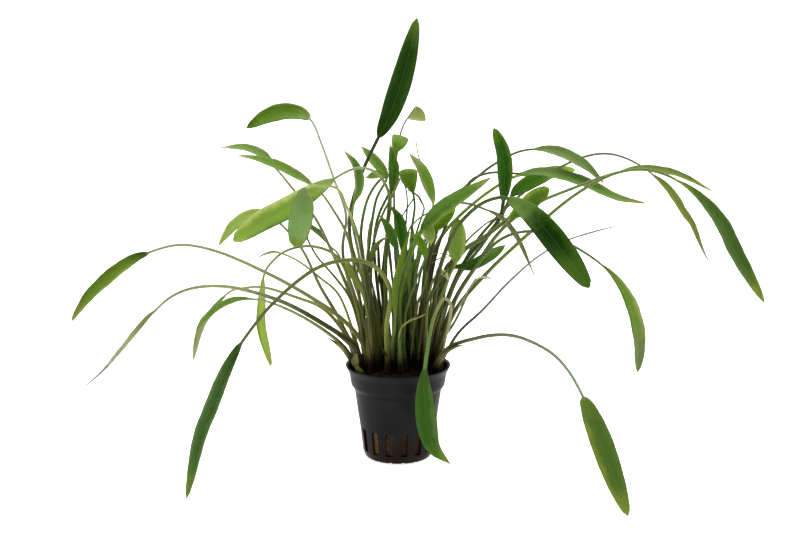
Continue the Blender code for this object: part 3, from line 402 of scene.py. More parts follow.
        (12, 4.4), [(17.5, 72), (21.4, 100), (29.4, 121.1), (39.7, 133.3), (49, 138.3), (56.5, 138.4)],
        [(70, 129), (84, 112.5), (99.8, 91)], (14, 40, 68), 12.8, (8, 8), (1.5, 0.9), 0.52, (0.45, 0.42)),
    "right_hook": leaf(
        (19, 0.6), [(30, 85), (41, 103), (51.5, 115.7), (64.1, 120.9), (76, 120), (90.3, 113.8),
        (103.3, 105.4)], [(113, 96), (121, 82), (125.6, 64), (125.8, 45.2)], (8, 22, 34), 9.6, (45, 42),
        (1.3, 0.6), 0.6, (1, 0.5)),
    "far_right": leaf(
        (20.8, -5.7), [(28.7, 76.6), (45.1, 97.8), (68.4, 120.6), (90, 139.4), (110, 151), (126, 153.6),
        (140, 150)], [(154, 140.5), (166.5, 126), (175.5, 109), (191.3, 82.8)], (4, 14, 24), 9.6,
        (50, 20), (1.3, 0.7), 0.5, (1, 0.6)),
    "right_twin": leaf(
        (20.3, -9.2), [(28.2, 81.1), (39.5, 101.2), (53.4, 121.7), (70.3, 135.1), (91.7, 144.5),
        (112, 152)], [(126, 154), (144, 150.8), (163.2, 141.6)], (-12, -6, 0), 7.0, (60, 60), (1.5, 0.7),
        0.45, (0.8, 0.8)),
    "right_thin": leaf(
        (16, -14.1), [(34, 104), (52, 129.5), (75, 149.5), (94.7, 160), (109, 161.8), (120, 158.3),
        (130, 152)], [(139, 143.5), (145, 135), (148.3, 129.6), (153, 123), (157, 113), (163, 102.5)],
        (-30, -18, -4), 6.6, (48, 54), (1.1, 0.55), 0.3, (0.8, 1)),
    "right_low": leaf(
        (18, 3.4), [(26, 58.5), (40, 63.7), (53, 65.8), (65, 64), (80, 56.3), (90, 45.5), (97.5, 32)],
        [(101.5, 22), (107, 8), (115, -14), (122.7, -34.2)], (36, 84, 113), 11.8, (15, 12), (1.5, 0.75),
        0.42, (0.38, 0.5)),
    "front": leaf(
        (20, 1.5), [(24.5, 62), (26.8, 73), (27.6, 81), (25.4, 86), (22.2, 83), (18.4, 74), (16.2, 63),
        (14.2, 48.5)], [(13.7, 38), (14.8, 22), (18.4, 5), (27.7, -5)], (24, 32, 42), 11.2, (0, -10),
        (1.2, 0.9), 0.5, (0.7, 0.9)),
    "right_drooping": leaf(
        (1.5, -10.2), [(12, 110), (24, 133), (33, 136.3), (44, 133.2)], [(54, 127.8), (61.8, 117.5),
        (67, 106.5), (71, 97.4)], (-6, -8, -2), 3.6, (30, 35), (0.9, 0.6), 0.4, (0.7, 0.9)),
    "right_wisp": leaf(
        (21, -2.1), [(31, 66), (44, 79), (58, 94.5), (73, 108), (88, 116.5)], [(95, 119), (103, 121.4),
        (113.2, 124)], (12, 18, 22), 1.1, (0, 0), (0.9, 0.45)),
    "small_arch": leaf(
        (15, 9.8), [(15, 75), (17, 91), (19.5, 97.2)], [(22.5, 99.2), (24.5, 98.2), (26, 95.5)],
        (13, 14, 16), 3.6, (20, 20), (0.9, 0.6)),
    "pale_wisp": leaf(
        (13.2, -8.6), [(28, 70), (35.7, 86), (39.9, 93.5)], [(43.6, 96.3), (46, 96.7), (48.8, 95.9)],
        (-6, -4, -2), 2.4, (-20, 20), (0.9, 0.6)),
    "young_left": leaf(
        (-18.5, 8.5), [(-21.6, 48.2)], [(-22.4, 50.5), (-22.4, 53), (-21.6, 55.6)], (10, 10, 10), 4.2,
        (0, 0), (1.3, 1.1)),
    "young_centre": leaf(
        (1.5, 9), [(0.5, 58), (1.1, 68.3)], [(6.1, 73.4), (9.5, 74.6), (14.3, 76.8)], (13, 16, 20), 1.6,
        (0, 0), (1, 0.55)),
    "short_arch": leaf(
        (-13.8, 5.2), [(-14.5, 80), (-13.5, 105)], [(-12, 112), (-9, 116.3), (-5, 118)], (12, 15, 20),
        2.6, (-10, -10), (1.1, 0.6)),
    "hidden_left": leaf(
        (-17.2, -11.4), [(-21, 73), (-25.5, 86.5), (-33, 97), (-41.8, 107.5), (-46.4, 116)],
        [(-49, 122.4), (-50.6, 128), (-51, 133)], (-16, -24, -26), 4.0, (-20, -20), (1.1, 0.5)),
    "left_strap": leaf(
        (-14.5, -3.5), [(-15.5, 75), (-18.5, 88)], [(-21.5, 94), (-24.8, 100.5), (-28, 107)],
        (-4, -6, -8), 4.6, (-20, -20), (1.2, 0.8), 0.6, (0.6, 0.7)),
    "hidden_centre": leaf(
        (-1, -18.6), [(4, 90), (9, 118), (13.4, 132.7)], [(12, 137), (9.8, 140.5), (5, 143)],
        (-30, -46, -54), 1.4, (20, 20), (1.1, 0.5)),
    "centre_blade": leaf(
        (5.8, -0.3), [(1.5, 60), (0.5, 76)], [(2, 88), (6, 98.5), (11.5, 110)], (3, 2, 0), 5.4,
        (-35, -30), (1.3, 0.9), 0.5, (0.6, 0.7)),
    "centre_brown": leaf(
        (1.5, -13.6), [(4, 62), (3.6, 70)], [(4.2, 79), (6, 89), (9, 100)], (-16, -18, -20), 6.2,
        (-10, -15), (1.3, 1.2), 0.4, (0.5, 0.8)),
    "hidden_right": leaf(
        (11.5, -16.2), [(22, 85), (33, 112), (44, 124)], [(48, 126.5), (52, 128.4), (56, 129.6)],
        (-30, -46, -54), 1.4, (30, 30), (1.1, 0.5)),
}


def look(colours, glow=0.16, shine=0.42, fade=(0.26, 0.02, 0.72, 1.02), foot_fade=(-0.9, -0.08)):
    """Screen colours of one leaf in the order of LOOK_KEYS, its glow and its roughness.

    fade says where along the blade the base's colour ends and is full, and where the tip's starts and is
    full. foot_fade says where along the stalk, from -1 at its root to 0, the foot's colour starts to give
    way and ends.
    """
    own = {"glow": glow, "shine": shine, "fade": fade, "foot_fade": foot_fade}
    return {**dict(zip(LOOK_KEYS, colours.split())), **own}


LOOKS = {
    "far_left": look("86b048 628a2c 5a8020 8a9c50 2f5010 808c66 5c5e38", 0.22),
    "left_edge": look(
        "a4b8a4 98ae92 92a888 b4c4d2 748a5c 7c8862 30321c",
        0.2, fade=(0.42, 0.15, 0.5, 0.9), foot_fade=(-0.7, -0.3),
    ),
    "left_hook_a": look("90a880 849c70 74944c a0b494 6a8a4c 7c8a5a 5c5c38"),
    "left_hook_b": look("6f9a48 5f8c34 6a9444 6a9a50 5a8038 728656 5c5c38"),
    "left_yellow": look("b0cc84 aed080 8cac40 b0c480 a8c46c 748050 5c5e38", 0.4),
    "left_long_dark": look("4e7c42 38622e 527c3e 648e34 2c4a16 4e5634 5c6236", 0.06),
    "upper_left": look("5f9434 60902e 5a8a2c 4a7820 80a65c 969e84 48502a", 0.2, foot_fade=(-0.6, -0.3)),
    "left_upper_a": look("7aa85c 68983c 7a9c40 9ab080 84a070 707854 585734", 0.24),
    "left_upper_b": look("88ac68 70a054 749c58 b4c0a4 64904c 727c5a 585734", 0.24),
    "left_broad": look("74a84c 98c464 d0e8b0 a8d074 a4cc8c 828e60 3c4820", 0.36, foot_fade=(-0.36, -0.1)),
    "left_facing": look(
        "7fae60 76a866 78ac68 70982e 90b47c 8a9660 383e1c", 0.2, 0.36, foot_fade=(-0.5, -0.16),
    ),
    "left_under": look("88b064 9cc070 a8c484 a0bc80 88ac68 747c56 5c5c3c", 0.4),
    "left_wisp": look("8a9a70 8a9a70 8a9a70 8a8a80 7a8a50 7a8658 64663f"),
    "left_hidden": look("4a6c28 3c5c1c 3c5818 547a34 3c5820 565c34 5a5c34", 0.1),
    "top_tall": look("2c5a10 1c4a06 2a5808 5f8a32 1c4404 2e381f 5c5c30", 0.04, 0.36),
    "top_small": look("9aae70 8fa868 9fb478 c0c8a0 88a068 5c6044 50582f", 0.36),
    "top_fan_left": look("84ac50 70a044 7cac50 7aa450 649040 4c5a2c 3c4420", 0.3),
    "top_dark": look("4a7c28 3a6c14 5e8c34 78a434 3c5c1a 38441c 20220f", 0.08),
    "top_fan_right": look("6f9f45 5f9024 7aa840 9cc06c 4c7a2c 4a5c2c 34401f", 0.26),
    "top_pale": look(
        "b4cca4 84b850 88bc54 bcd4a4 a8cc84 6a8040 4c5a2c", 0.26, fade=(0.26, 0.02, 0.55, 0.9),
    ),
    "top_twisted": look("b0c4a4 5e9246 84ac64 acc088 70984c 5f7a40 585a34", 0.2),
    "top_left_a": look("7fac54 6a9c44 94a868 acbc90 5f8f40 566a34 584c2e", 0.24),
    "top_left_b": look("6f9f42 5f9438 6a9a3d 84a850 5f8f38 566a34 584c2e", 0.22),
    "centre_dark_left": look("4c8028 407018 4c8428 5f9034 3c6c14 4a642c 262a12", 0.1),
    "centre_dark_right": look("447c04 2c6600 44780c 608420 407404 4a702c 262a12", 0.08),
    "centre_strap": look(
        "64902c 588020 547c20 5a8a24 687e30 4c5f28 24260f", 0.14, foot_fade=(-0.75, -0.02),
    ),
    "centre_blade": look("94b048 64942c 3c5c1c 749440 586a2c 44582a 262a12", 0.12),
    "centre_brown": look("787442 6a683a 66642e 748048 868052 3c3820 1c180a", 0.06),
    "centre_bright": look("70a228 5c9014 66a01c 74a834 7ca038 46622a 2a3014", 0.24),
    "centre_light": look("98bc64 88b05c b0d090 a8cc70 98bc70 54703a 444a26", 0.36),
    "right_long": look("649438 5c943c 84b454 94ac60 50802a 5c8030 3e5222", 0.14),
    "right_bright": look("b0d478 70a02c 78a834 a8cc60 203c04 46602a 44381e", 0.34),
    "right_light": look("98b866 88b45c b4d480 6a9030 8cb850 66763c 443e22", 0.36),
    "right_dark": look(
        "2c5a0c 305e10 6c9444 50802a 2c5204 3a4020 3c341a",
        0.06, fade=(0.2, 0.0, 0.4, 0.72), foot_fade=(-0.96, -0.4),
    ),
    "right_upright": look(
        "38701a 246004 5c8a30 5c9414 2c600a 2c401a 3a3418", 0.08, foot_fade=(-0.96, -0.4),
    ),
    "right_arch_high": look("648c44 648a50 7c9c68 5c7c40 5f8448 4c5a34 36301a", 0.14, 0.36),
    "right_arch_low": look("7ca05c 6c9c50 78a860 90a868 5c8c48 4c5c34 302812", 0.18, 0.36),
    "right_behind": look("94bc50 8ab848 94c058 a8d070 94bc58 6a843c 3f4220", 0.42),
    "right_dark_short": look(
        "5c9034 4c8824 508828 98bc6c 44782c 44562a 383418", 0.12, foot_fade=(-0.96, -0.45),
    ),
    "right_olive": look("88b84c 54882c 588a30 84a828 74a444 4c5c30 3a341a", 0.18, foot_fade=(-0.96, -0.45)),
    # right_big: its base colour is a painted sheen, the paler grey-green of light glancing off the blade
    # near its base.
    "right_big": look(
        "30600c 0e3a02 1c4806 447422 6c9a4c 3a4a22 2c2a14", 0.04, 0.32, fade=(0.38, 0.1, 0.52, 0.82),
    ),
    "right_hook": look(
        "9ab86c 6c9a3c 4c7a26 6c8c60 567828 4c5a34 3a341a",
        0.2, fade=(0.26, 0.02, 0.5, 0.85), foot_fade=(-0.96, -0.5),
    ),
    "far_right": look("4a7830 46702f 5c8044 84a84c 6f9038 5c6c38 403a1c", 0.12, foot_fade=(-0.96, -0.5)),
    "right_twin": look("5c7824 66893a 7a9a45 94a468 6a8c38 5f7040 403a1c", 0.16, foot_fade=(-0.96, -0.5)),
    "right_thin": look("7a9a48 6c8c42 8aa05c a5b6c9 64843a 60684c 382a14", 0.18),
    "right_low": look("5c8438 507a32 74983a 7aa040 5f8434 6a7664 3e3e26", 0.14),
    "front": look("507c3c 346620 3a6c28 6e9a3c 385e2a 4c6a32 6e7056", 0.12, foot_fade=(-0.52, -0.16)),
    "right_drooping": look("6c8050 6c7e5a 829474 88987e 7a8c5c 525c3c 2c2e18", 0.12),
    "right_wisp": look("a0b0c0 a0b0c0 a0b0c0 a0b0c0 8c9494 6e7468 3a3a24", 0.1),
    "small_arch": look("dcecd8 a0b884 98b078 dcecd0 98b078 5f7038 44482a", 0.2),
    "pale_wisp": look("ccdcdc ccdcdc d0e0e4 8a9692 bccca8 78805e 44482a", 0.3),
    "young_left": look("6c7a4c 7a865e 7a8858 8a9664 66703a 66703a 5a582f", 0.1),
    "young_centre": look("949c64 949c64 98a068 a0ac74 7c8650 6a7a44 44542a", 0.12),
    "short_arch": look("728c48 50682a 546c32 84946c 506428 2d3416 565433", 0.1, foot_fade=(-0.78, -0.45)),
    "hidden_left": look("4a7a2c 3a6a20 4a7a2c 55803a 456c28 4c5c2c 5c5c38", 0.1),
    "left_strap": look("98b45c 98b468 7c9648 bccc78 98b070 6f7a3c 5f6238", 0.2),
    "hidden_centre": look("5f7a44 587440 5f7a44 6a8450 506a38 44542c 22240f", 0.1),
    "hidden_right": look("5f7a44 587440 5f7a44 6a8450 506a38 3c4828 30281a", 0.1),
}


def seen_to_real(across, up, ahead):
    """Real (x, y, z) of points seen at (across, up) and lying so far ahead of the pot's axis."""
    near = 1.0 - ahead / EYE_AHEAD
    return np.stack([EYE_X + (across - EYE_X) * near, -ahead, EYE_Z + (up - EYE_Z) * near], axis=-1)


def real_to_seen(points):
    """The seen (across, up) and the distance ahead of real points."""
    ahead = -points[..., 1]
    near = 1.0 - ahead / EYE_AHEAD
    across = EYE_X + (points[..., 0] - EYE_X) / near
    up = EYE_Z + (points[..., 2] - EYE_Z) / near
    return across, up, ahead


def unit(vectors):
    """Vectors of the same directions with length 1."""
    return vectors / np.linalg.norm(vectors, axis=-1, keepdims=True)


def smooth_line(points, per_span=SPAN_STEPS):
    """A Catmull-Rom curve through the points, with even parameter steps in each span."""
    points = np.asarray(points, float)
    padded = np.vstack([2 * points[0] - points[1], points, 2 * points[-1] - points[-2]])
    steps = np.linspace(0.0, 1.0, per_span, endpoint=False)[:, None]
    line = []
    for a, b, c, d in zip(padded, padded[1:], padded[2:], padded[3:]):
        curve = 2 * b + (c - a) * steps + (2 * a - 5 * b + 4 * c - d) * steps**2
        line.append(0.5 * (curve + (3 * b - a - 3 * c + d) * steps**3))
    return np.vstack(line + [points[-1:]])


def run_length(line):
    """Distance along a line at each of its points."""
    return np.concatenate([[0.0], np.cumsum(np.linalg.norm(np.diff(line, axis=0), axis=1))])


def crown_height(radius):
    """Height of the plug's crown at a distance from its middle."""
    profile = [(0.0, MEDIUM_TOP)] + MEDIUM_CROWN[::-1] + [MEDIUM_SIDE[-1]]
    return np.interp(radius, *zip(*profile))


def spread_roots():
    """Root places on the plug, moved apart until the stalks have room, and kept inside the pot."""
    roots = np.array([spec["root"] for spec in LEAVES.values()], float)
    for _ in range(PUSH_ROUNDS):
        apart = roots[:, None] - roots[None]
        distance = np.linalg.norm(apart, axis=2) + np.eye(len(roots)) * 99.0
        short = np.clip(ROOT_SPACE - distance, 0.0, None)
        roots = roots + 0.3 * (apart / distance[:, :, None] * short[:, :, None]).sum(axis=1)
        reach = np.linalg.norm(roots, axis=1)
        roots = roots * np.minimum(1.0, ROOT_REACH / reach)[:, None]
    return roots


def leaf_route(spec, x, ahead):
    """Seen route of a leaf at even stations, its depth there, and where along it the blade starts."""
    near = 1.0 - ahead / EYE_AHEAD
    foot = crown_height(math.hypot(x, ahead)) + ROOT_GAP
    root = (EYE_X + (x - EYE_X) / near, EYE_Z + (foot - EYE_Z) / near)
    line = smooth_line([root] + spec["stalk"] + spec["blade"])
    run = run_length(line)
    length = run[-1]
    base = run[SPAN_STEPS * len(spec["stalk"])]
    stations = np.linspace(0.0, length, STATIONS)
    across, up = (np.interp(stations, run, line[:, axis]) for axis in (0, 1))
    middle, at_base, tip = spec["ahead"]
    depth_line = smooth_line([(0.0, ahead), (0.45 * base, middle), (base, at_base), (length, tip)])
    depth = np.interp(stations, depth_line[:, 0], depth_line[:, 1])
    return {"across": across, "up": up, "depth": depth, "run": stations, "base": base, "length": length}


def at_run(route, run):
    """Real points of a leaf's middle line at distances along its seen route."""
    return seen_to_real(*(np.interp(run, route["run"], route[key]) for key in ROUTE_KEYS[1:]))


def leaf_frames(route, spec, run):
    """Middle points of a leaf with the direction of its width and of its upper face."""
    middle = at_run(route, run)
    step = 0.012 * route["length"]
    after, before = np.minimum(run + step, route["length"]), np.maximum(run - step, 0.0)
    along = unit(at_run(route, after) - at_run(route, before))
    side = unit(np.cross(along, unit(np.array([EYE_X, -EYE_AHEAD, EYE_Z]) - middle)))
    facing = np.cross(side, along)
    share = np.clip((run - route["base"]) / (route["length"] - route["base"]), 0.0, 1.0)
    turn = np.radians(spec["turn"][0] + (spec["turn"][1] - spec["turn"][0]) * share)[:, None]
    width = np.cos(turn) * side + np.sin(turn) * facing
    return middle, width, np.cos(turn) * facing - np.sin(turn) * side


def blade_half_width(spec, share):
    """Half width of the blade at a share of its length: a lance shape with its widest part at peak."""
    share = np.clip(share, 0.0, 1.0)
    peak = spec["peak"]
    rise = np.sin(0.5 * np.pi * np.minimum(share / peak, 1.0)) ** spec["ends"][0]
    fall = np.cos(0.5 * np.pi * np.clip((share - peak) / (1.0 - peak), 0.0, 1.0)) ** spec["ends"][1]
    return 0.5 * spec["width"] * rise * fall


def stalk_radius(route, spec, run):
    """Radius of the stalk, which tapers from the root to the blade."""
    start, end = spec["stem"]
    return start + (end - start) * np.clip(run / route["base"], 0.0, 1.0) ** 0.8


def leaf_samples(route, spec):
    """Balls that fill a leaf: seen place, distance ahead, radius and nearest station of each."""
    run = np.linspace(0.0, route["length"], max(12, int(route["length"] / 2.2)))
    middle, width, face = leaf_frames(route, spec, run)
    share = (run - route["base"]) / (route["length"] - route["base"])
    half = np.where(share > 0, blade_half_width(spec, share), 0.0)
    station = np.rint(run / route["length"] * (STATIONS - 1)).astype(int)
    fold = math.radians(spec["fold"])
    rows = [(middle, stalk_radius(route, spec, run) * np.where(share > 0.1, 0.7, 1.0), station)]
    wide = half > 0.8
    for place in (-0.85, -0.5, 0.5, 0.85):
        reach = half[:, None] * (place * math.cos(fold) * width + abs(place) * math.sin(fold) * face)
        rows.append(((middle + reach)[wide], 0.3 + 0.2 * half[wide], station[wide]))
    points, radius, station = map(np.concatenate, zip(*rows))
    return *real_to_seen(points), radius, station


def close_pairs(owner, across, up, radius):
    """Pairs of balls of different leaves that hide each other, and how far apart in depth they must be."""
    order = np.argsort(across)
    rows = []
    reach = 2 * radius.max() + SPACE_BETWEEN
    ends = np.searchsorted(across[order], across[order] + reach)
    for place, index in enumerate(order):
        others = order[place + 1 : ends[place]]
        room = radius[index] + radius[others] + SPACE_BETWEEN
        apart = np.hypot(across[others] - across[index], up[others] - up[index])
        hit = (apart < room) & (owner[others] != owner[index])
        rows.append((np.full(hit.sum(), index), others[hit], np.sqrt(room[hit] ** 2 - apart[hit] ** 2)))
    return map(np.concatenate, zip(*rows))


def spread_kernel():
    """How one push on a leaf is shared by the stations beside it."""
    places = np.arange(-5, 6)
    return np.exp(-0.5 * (places / 2.2) ** 2)


def rim_limits(routes):
    """How far ahead or behind each station may lie, so that the stalks rise inside the pot's rim."""
    limits = np.full((len(routes), STATIONS), 1000.0)
    for row, route in enumerate(routes.values()):
        real = seen_to_real(route["across"], route["up"], route["depth"])
        low = (real[:, 2] < RIM_HEIGHT) & (route["run"] < 16.0)
        limits[row, low] = np.sqrt(np.clip(RIM_REACH**2 - real[low, 0] ** 2, 16.0, None))
    return limits


def crossing_order(owner, station, first, second, ahead):
    """Which leaf passes in front: one answer for all the balls of a crossing, except close to the roots."""
    place = (owner[first] * len(LEAVES) + owner[second]) * STATIONS + station[first] // CROSSING_STATIONS
    _, group = np.unique(place, return_inverse=True)
    own_lead = ahead[first] - ahead[second]
    lead = np.bincount(group, weights=own_lead)[group]
    low = np.minimum(station[first], station[second]) < ROOT_STATIONS
    return np.where(np.where(low, own_lead, lead) >= 0, 1.0, -1.0)


def pushes(shape, balls, force):
    """The strongest push forward and back on each station of each leaf, added up."""
    high, low = np.zeros(shape), np.zeros(shape)
    for place, push in zip(balls, (force, -force)):
        np.maximum.at(high, place, push)
        np.minimum.at(low, place, push)
    return high + low


def part_leaves(routes):
    """Moves leaves nearer or farther, never sideways as seen, until none runs through another."""
    samples = [leaf_samples(route, LEAVES[name]) for name, route in routes.items()]
    owner = np.repeat(np.arange(len(samples)), [len(sample[0]) for sample in samples])
    across, up, ahead, radius, station = map(np.concatenate, zip(*samples))
    first, second, need = close_pairs(owner, across, up, radius)
    swap = owner[first] > owner[second]
    first, second = np.where(swap, second, first), np.where(swap, first, second)
    sign = crossing_order(owner, station, first, second, ahead)
    shift = np.zeros((len(routes), STATIONS))
    kernel = spread_kernel()
    hold = np.clip(np.arange(STATIONS) / 2.0, 0.0, 1.0)
    depth = np.array([route["depth"] for route in routes.values()])
    limits = rim_limits(routes)
    for _ in range(PUSH_ROUNDS):
        now = ahead + shift[owner, station]
        short = need - sign * (now[first] - now[second])
        bad = short > 0
        if not bad.any():
            break
        balls = [(owner[ball[bad]], station[ball[bad]]) for ball in (first, second)]
        change = pushes(shift.shape, balls, 0.5 * sign[bad] * short[bad])
        for row in range(len(routes)):
            shift[row] += 0.35 * hold * np.convolve(change[row], kernel, mode="same")
        shift = np.clip(np.clip(depth + shift, -limits, limits) - depth, -MOST_SHIFT, MOST_SHIFT)
    for index, route in enumerate(routes.values()):
        route["depth"] = depth[index] + shift[index]
    return routes


def all_routes():
    """Routes of every leaf, parted from each other."""
    roots = spread_roots()
    return part_leaves({name: leaf_route(spec, *root) for (name, spec), root in zip(LEAVES.items(), roots)})


def fine_route(route):
    """The same route with its stations joined by smooth curves."""
    line = smooth_line(np.column_stack([route[key] for key in ROUTE_KEYS]), 8)
    return {**route, **dict(zip(ROUTE_KEYS, line.T))}


def smooth_step(value, low, high):
    """0 below low, 1 above high and a smooth rise between them."""
    share = np.clip((value - low) / (high - low), 0.0, 1.0)
    return share * share * (3.0 - 2.0 * share)


def fine_runs(base, length):
    """Distances along a leaf at which its mesh has rings: closer together at the blade's ends."""
    blade = length - base
    foot = np.linspace(-FOOT_DEPTH, 0.0, 3)[:-1]
    stalk = np.linspace(0.0, base, max(8, int(base / STALK_RING_STEP)))
    share = np.linspace(0.0, 1.0, max(14, min(54, int(blade / BLADE_RING_STEP))))
    share = 0.5 * share + 0.5 * (0.5 - 0.5 * np.cos(np.pi * share))
    return np.concatenate([foot, stalk, (base + blade * share)[1:-1], [base + 0.992 * blade]])


def edge_ripple(run, share, half, seed, side):
    """Rise and fall of one edge of a blade, strongest where the blade is wide."""
    long_wave, short_wave = RIPPLE_WAVES[0] + 2.5 * math.sin(seed), RIPPLE_WAVES[1] + math.cos(seed)
    phase = 1.7 * seed + 2.4 * side
    wave = np.sin(2 * np.pi * run / long_wave + phase)
    wave = wave + 0.6 * np.sin(2 * np.pi * run / short_wave + 2 * phase)
    return RIPPLE * half * wave * smooth_step(share, 0.05, 0.3)


def leaf_outline(route, spec, above, share):
    """Radius of the stalk and half width of the blade at the rings of a leaf's mesh."""
    radius = stalk_radius(route, spec, above)
    radius = radius * (1.0 + FOOT_SWELL * np.exp(-((above / FOOT_SWELL_REACH) ** 2)))
    half = np.maximum(blade_half_width(spec, share), radius * (1.0 - 0.3 * np.clip(share, 0.0, 1.0)))
    return radius, half * np.where(share > 0.97, 0.75, 1.0)


def leaf_surface(route, spec, seed):
    """Rings of a leaf: round stalk, then a thin folded blade with a rib under it and rippled edges."""
    base, length = route["base"], route["length"]
    run = fine_runs(base, length)
    above = np.maximum(run, 0.0)
    middle, width, face = leaf_frames(route, spec, above)
    down = at_run(route, np.array([0.0, 2.0]))
    middle = middle + np.minimum(run, 0.0)[:, None] * (down[1] - down[0]) / 2.0
    share = (run - base) / (length - base)
    radius, half = leaf_outline(route, spec, above, share)
    edges = [edge_ripple(run, share, half, seed, side)[:, None] for side in (0, 1)]
    flat = smooth_step(share, -0.02, 0.11)
    fold = (math.radians(spec["fold"]) * flat)[:, None]
    step = np.arange(RING_POINTS) / (RING_POINTS / 2)
    place = np.where(step <= 1.0, 1.0 - 2.0 * step, 2.0 * step - 3.0)
    top = np.where(np.isclose(np.abs(place), 1.0), 0.0, np.where(step < 1.0, 1.0, -1.0))
    blend, wide, along = flat[:, None], half[:, None], np.maximum(share, 0.0)[:, None]
    across = (1.0 - blend) * np.cos(np.pi * step) + blend * place
    thin = BLADE_THICK * (1.0 - 0.6 * place**2) * (1.0 - 0.5 * along)
    rib = RIB_DEPTH * np.exp(-2.0 * along) * np.exp(-((place * wide / RIB_WIDTH) ** 2))
    rise = np.where(top > 0, thin - 0.3 * rib, -thin - rib) * np.abs(top)
    bent = wide * np.abs(place) ** 1.7 * np.sin(fold) + np.abs(place) ** 2.5 * np.where(place > 0, *edges)
    height = (1.0 - blend) * radius[:, None] * np.sin(np.pi * step) + blend * (rise + bent)
    reach = (across * wide * np.cos(fold))[..., None]
    rings = middle[:, None] + reach * width[:, None] + height[..., None] * face[:, None]
    marks = {
        "across": np.tile(place, len(run)),
        "share": np.repeat(np.where(share >= 0, share, -1.0 + above / base), RING_POINTS),
        "under": np.tile(0.5 - 0.5 * top, len(run)),
    }
    grain = np.stack(np.broadcast_arrays(place * wide, run[:, None], GRAIN_STEP * seed), axis=-1)
    return rings, at_run(route, np.array([length])), marks, grain.reshape(-1, 3)


def mesh_object(name, verts, faces):
    """A mesh object from millimetre points."""
    mesh = bpy.data.meshes.new(name)
    mesh.from_pydata((np.asarray(verts) * MM).tolist(), [], faces)
    thing = bpy.data.objects.new(name, mesh)
    bpy.context.scene.collection.objects.link(thing)
    return thing


def closed_object(name, verts, faces):
    """A mesh object from millimetre points, with its faces turned outwards."""
    thing = mesh_object(name, verts, faces)
    body = bmesh.new()
    body.from_mesh(thing.data)
    bmesh.ops.recalc_face_normals(body, faces=body.faces)
    body.to_mesh(thing.data)
    body.free()
    return thing


def add_piece(name, verts, faces, material, replaced):
    """A smooth mesh piece that rides on the plant and stands for its CAD node."""
    piece = mesh_object(name, verts, faces)
    piece.data.materials.append(material)
    piece.data.shade_smooth()
    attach(piece, "root")
    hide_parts(replaced)
    return piece


def set_marks(mesh, marks, grain):
    """Stores where each point lies on its leaf, for the leaf's material."""
    for name, values in marks.items():
        mark = mesh.attributes.new(name, "FLOAT", "POINT")
        mark.data.foreach_set("value", values.astype(np.float32))
    mark = mesh.attributes.new("grain", "FLOAT_VECTOR", "POINT")
    mark.data.foreach_set("vector", grain.astype(np.float32).ravel())


def tube_faces(first, rings, points):
    """Faces of a tube made of rings of points. Its end point and start point follow the rings."""
    faces = []
    end = first + rings * points
    last = end - points
    for side in range(points):
        after = (side + 1) % points
        for ring in range(rings - 1):
            here = first + points * ring
            faces.append((here + side, here + points + side, here + points + after, here + after))
        faces.append((last + side, end, last + after))
        faces.append((first + after, end + 1, first + side))
    return faces


def tube_rings(middle, side, face, wide, deep, points=TUBE_POINTS):
    """Rings of points round a line. wide and deep are its half widths towards side and face."""
    angle = 2 * np.pi * np.arange(points) / points
    side, face = (np.broadcast_to(way, middle.shape)[:, None] for way in (side, face))
    across, out = (turn(angle)[None, :, None] for turn in (np.cos, np.sin))
    return middle[:, None] + wide[:, None, None] * across * side + deep[:, None, None] * out * face


def sheath(route, spec, dice):
    """A papery sheath round the foot of a stalk, away from it at its tip, as rings of points."""
    length = dice.uniform(*SHEATH_LENGTHS)
    share = np.linspace(0.0, 1.0, SHEATH_RINGS)
    run = np.minimum(length * share, 0.8 * route["base"])
    middle, width, face = leaf_frames(route, spec, run)
    middle = middle - np.array([0.0, 0.0, 2.0]) * (1.0 - smooth_step(share, 0.0, 0.3))[:, None]
    turn = dice.uniform(0.0, 2 * math.pi)
    radius = stalk_radius(route, spec, run) + 0.15 + dice.uniform(0.3, 0.9) * (1.0 - share)
    lean = dice.uniform(*SHEATH_LEANS) * share**1.6
    wrap = math.radians(dice.uniform(*SHEATH_WRAPS)) * (1.0 - share) ** 0.7 + 0.12
    half = SHEATH_POINTS // 2
    place = np.concatenate([np.linspace(-1.0, 1.0, half), np.linspace(1.0, -1.0, half)])
    deep = np.concatenate([np.full(half, SHEATH_THICK), np.zeros(half)])
    angle = (turn + wrap[:, None] * place)[..., None]
    reach = (radius[:, None] + deep)[..., None]
    outward = lean[:, None] * (math.cos(turn) * width + math.sin(turn) * face)
    ring = reach * np.cos(angle) * width[:, None] + reach * np.sin(angle) * face[:, None]
    return (middle + outward)[:, None] + ring


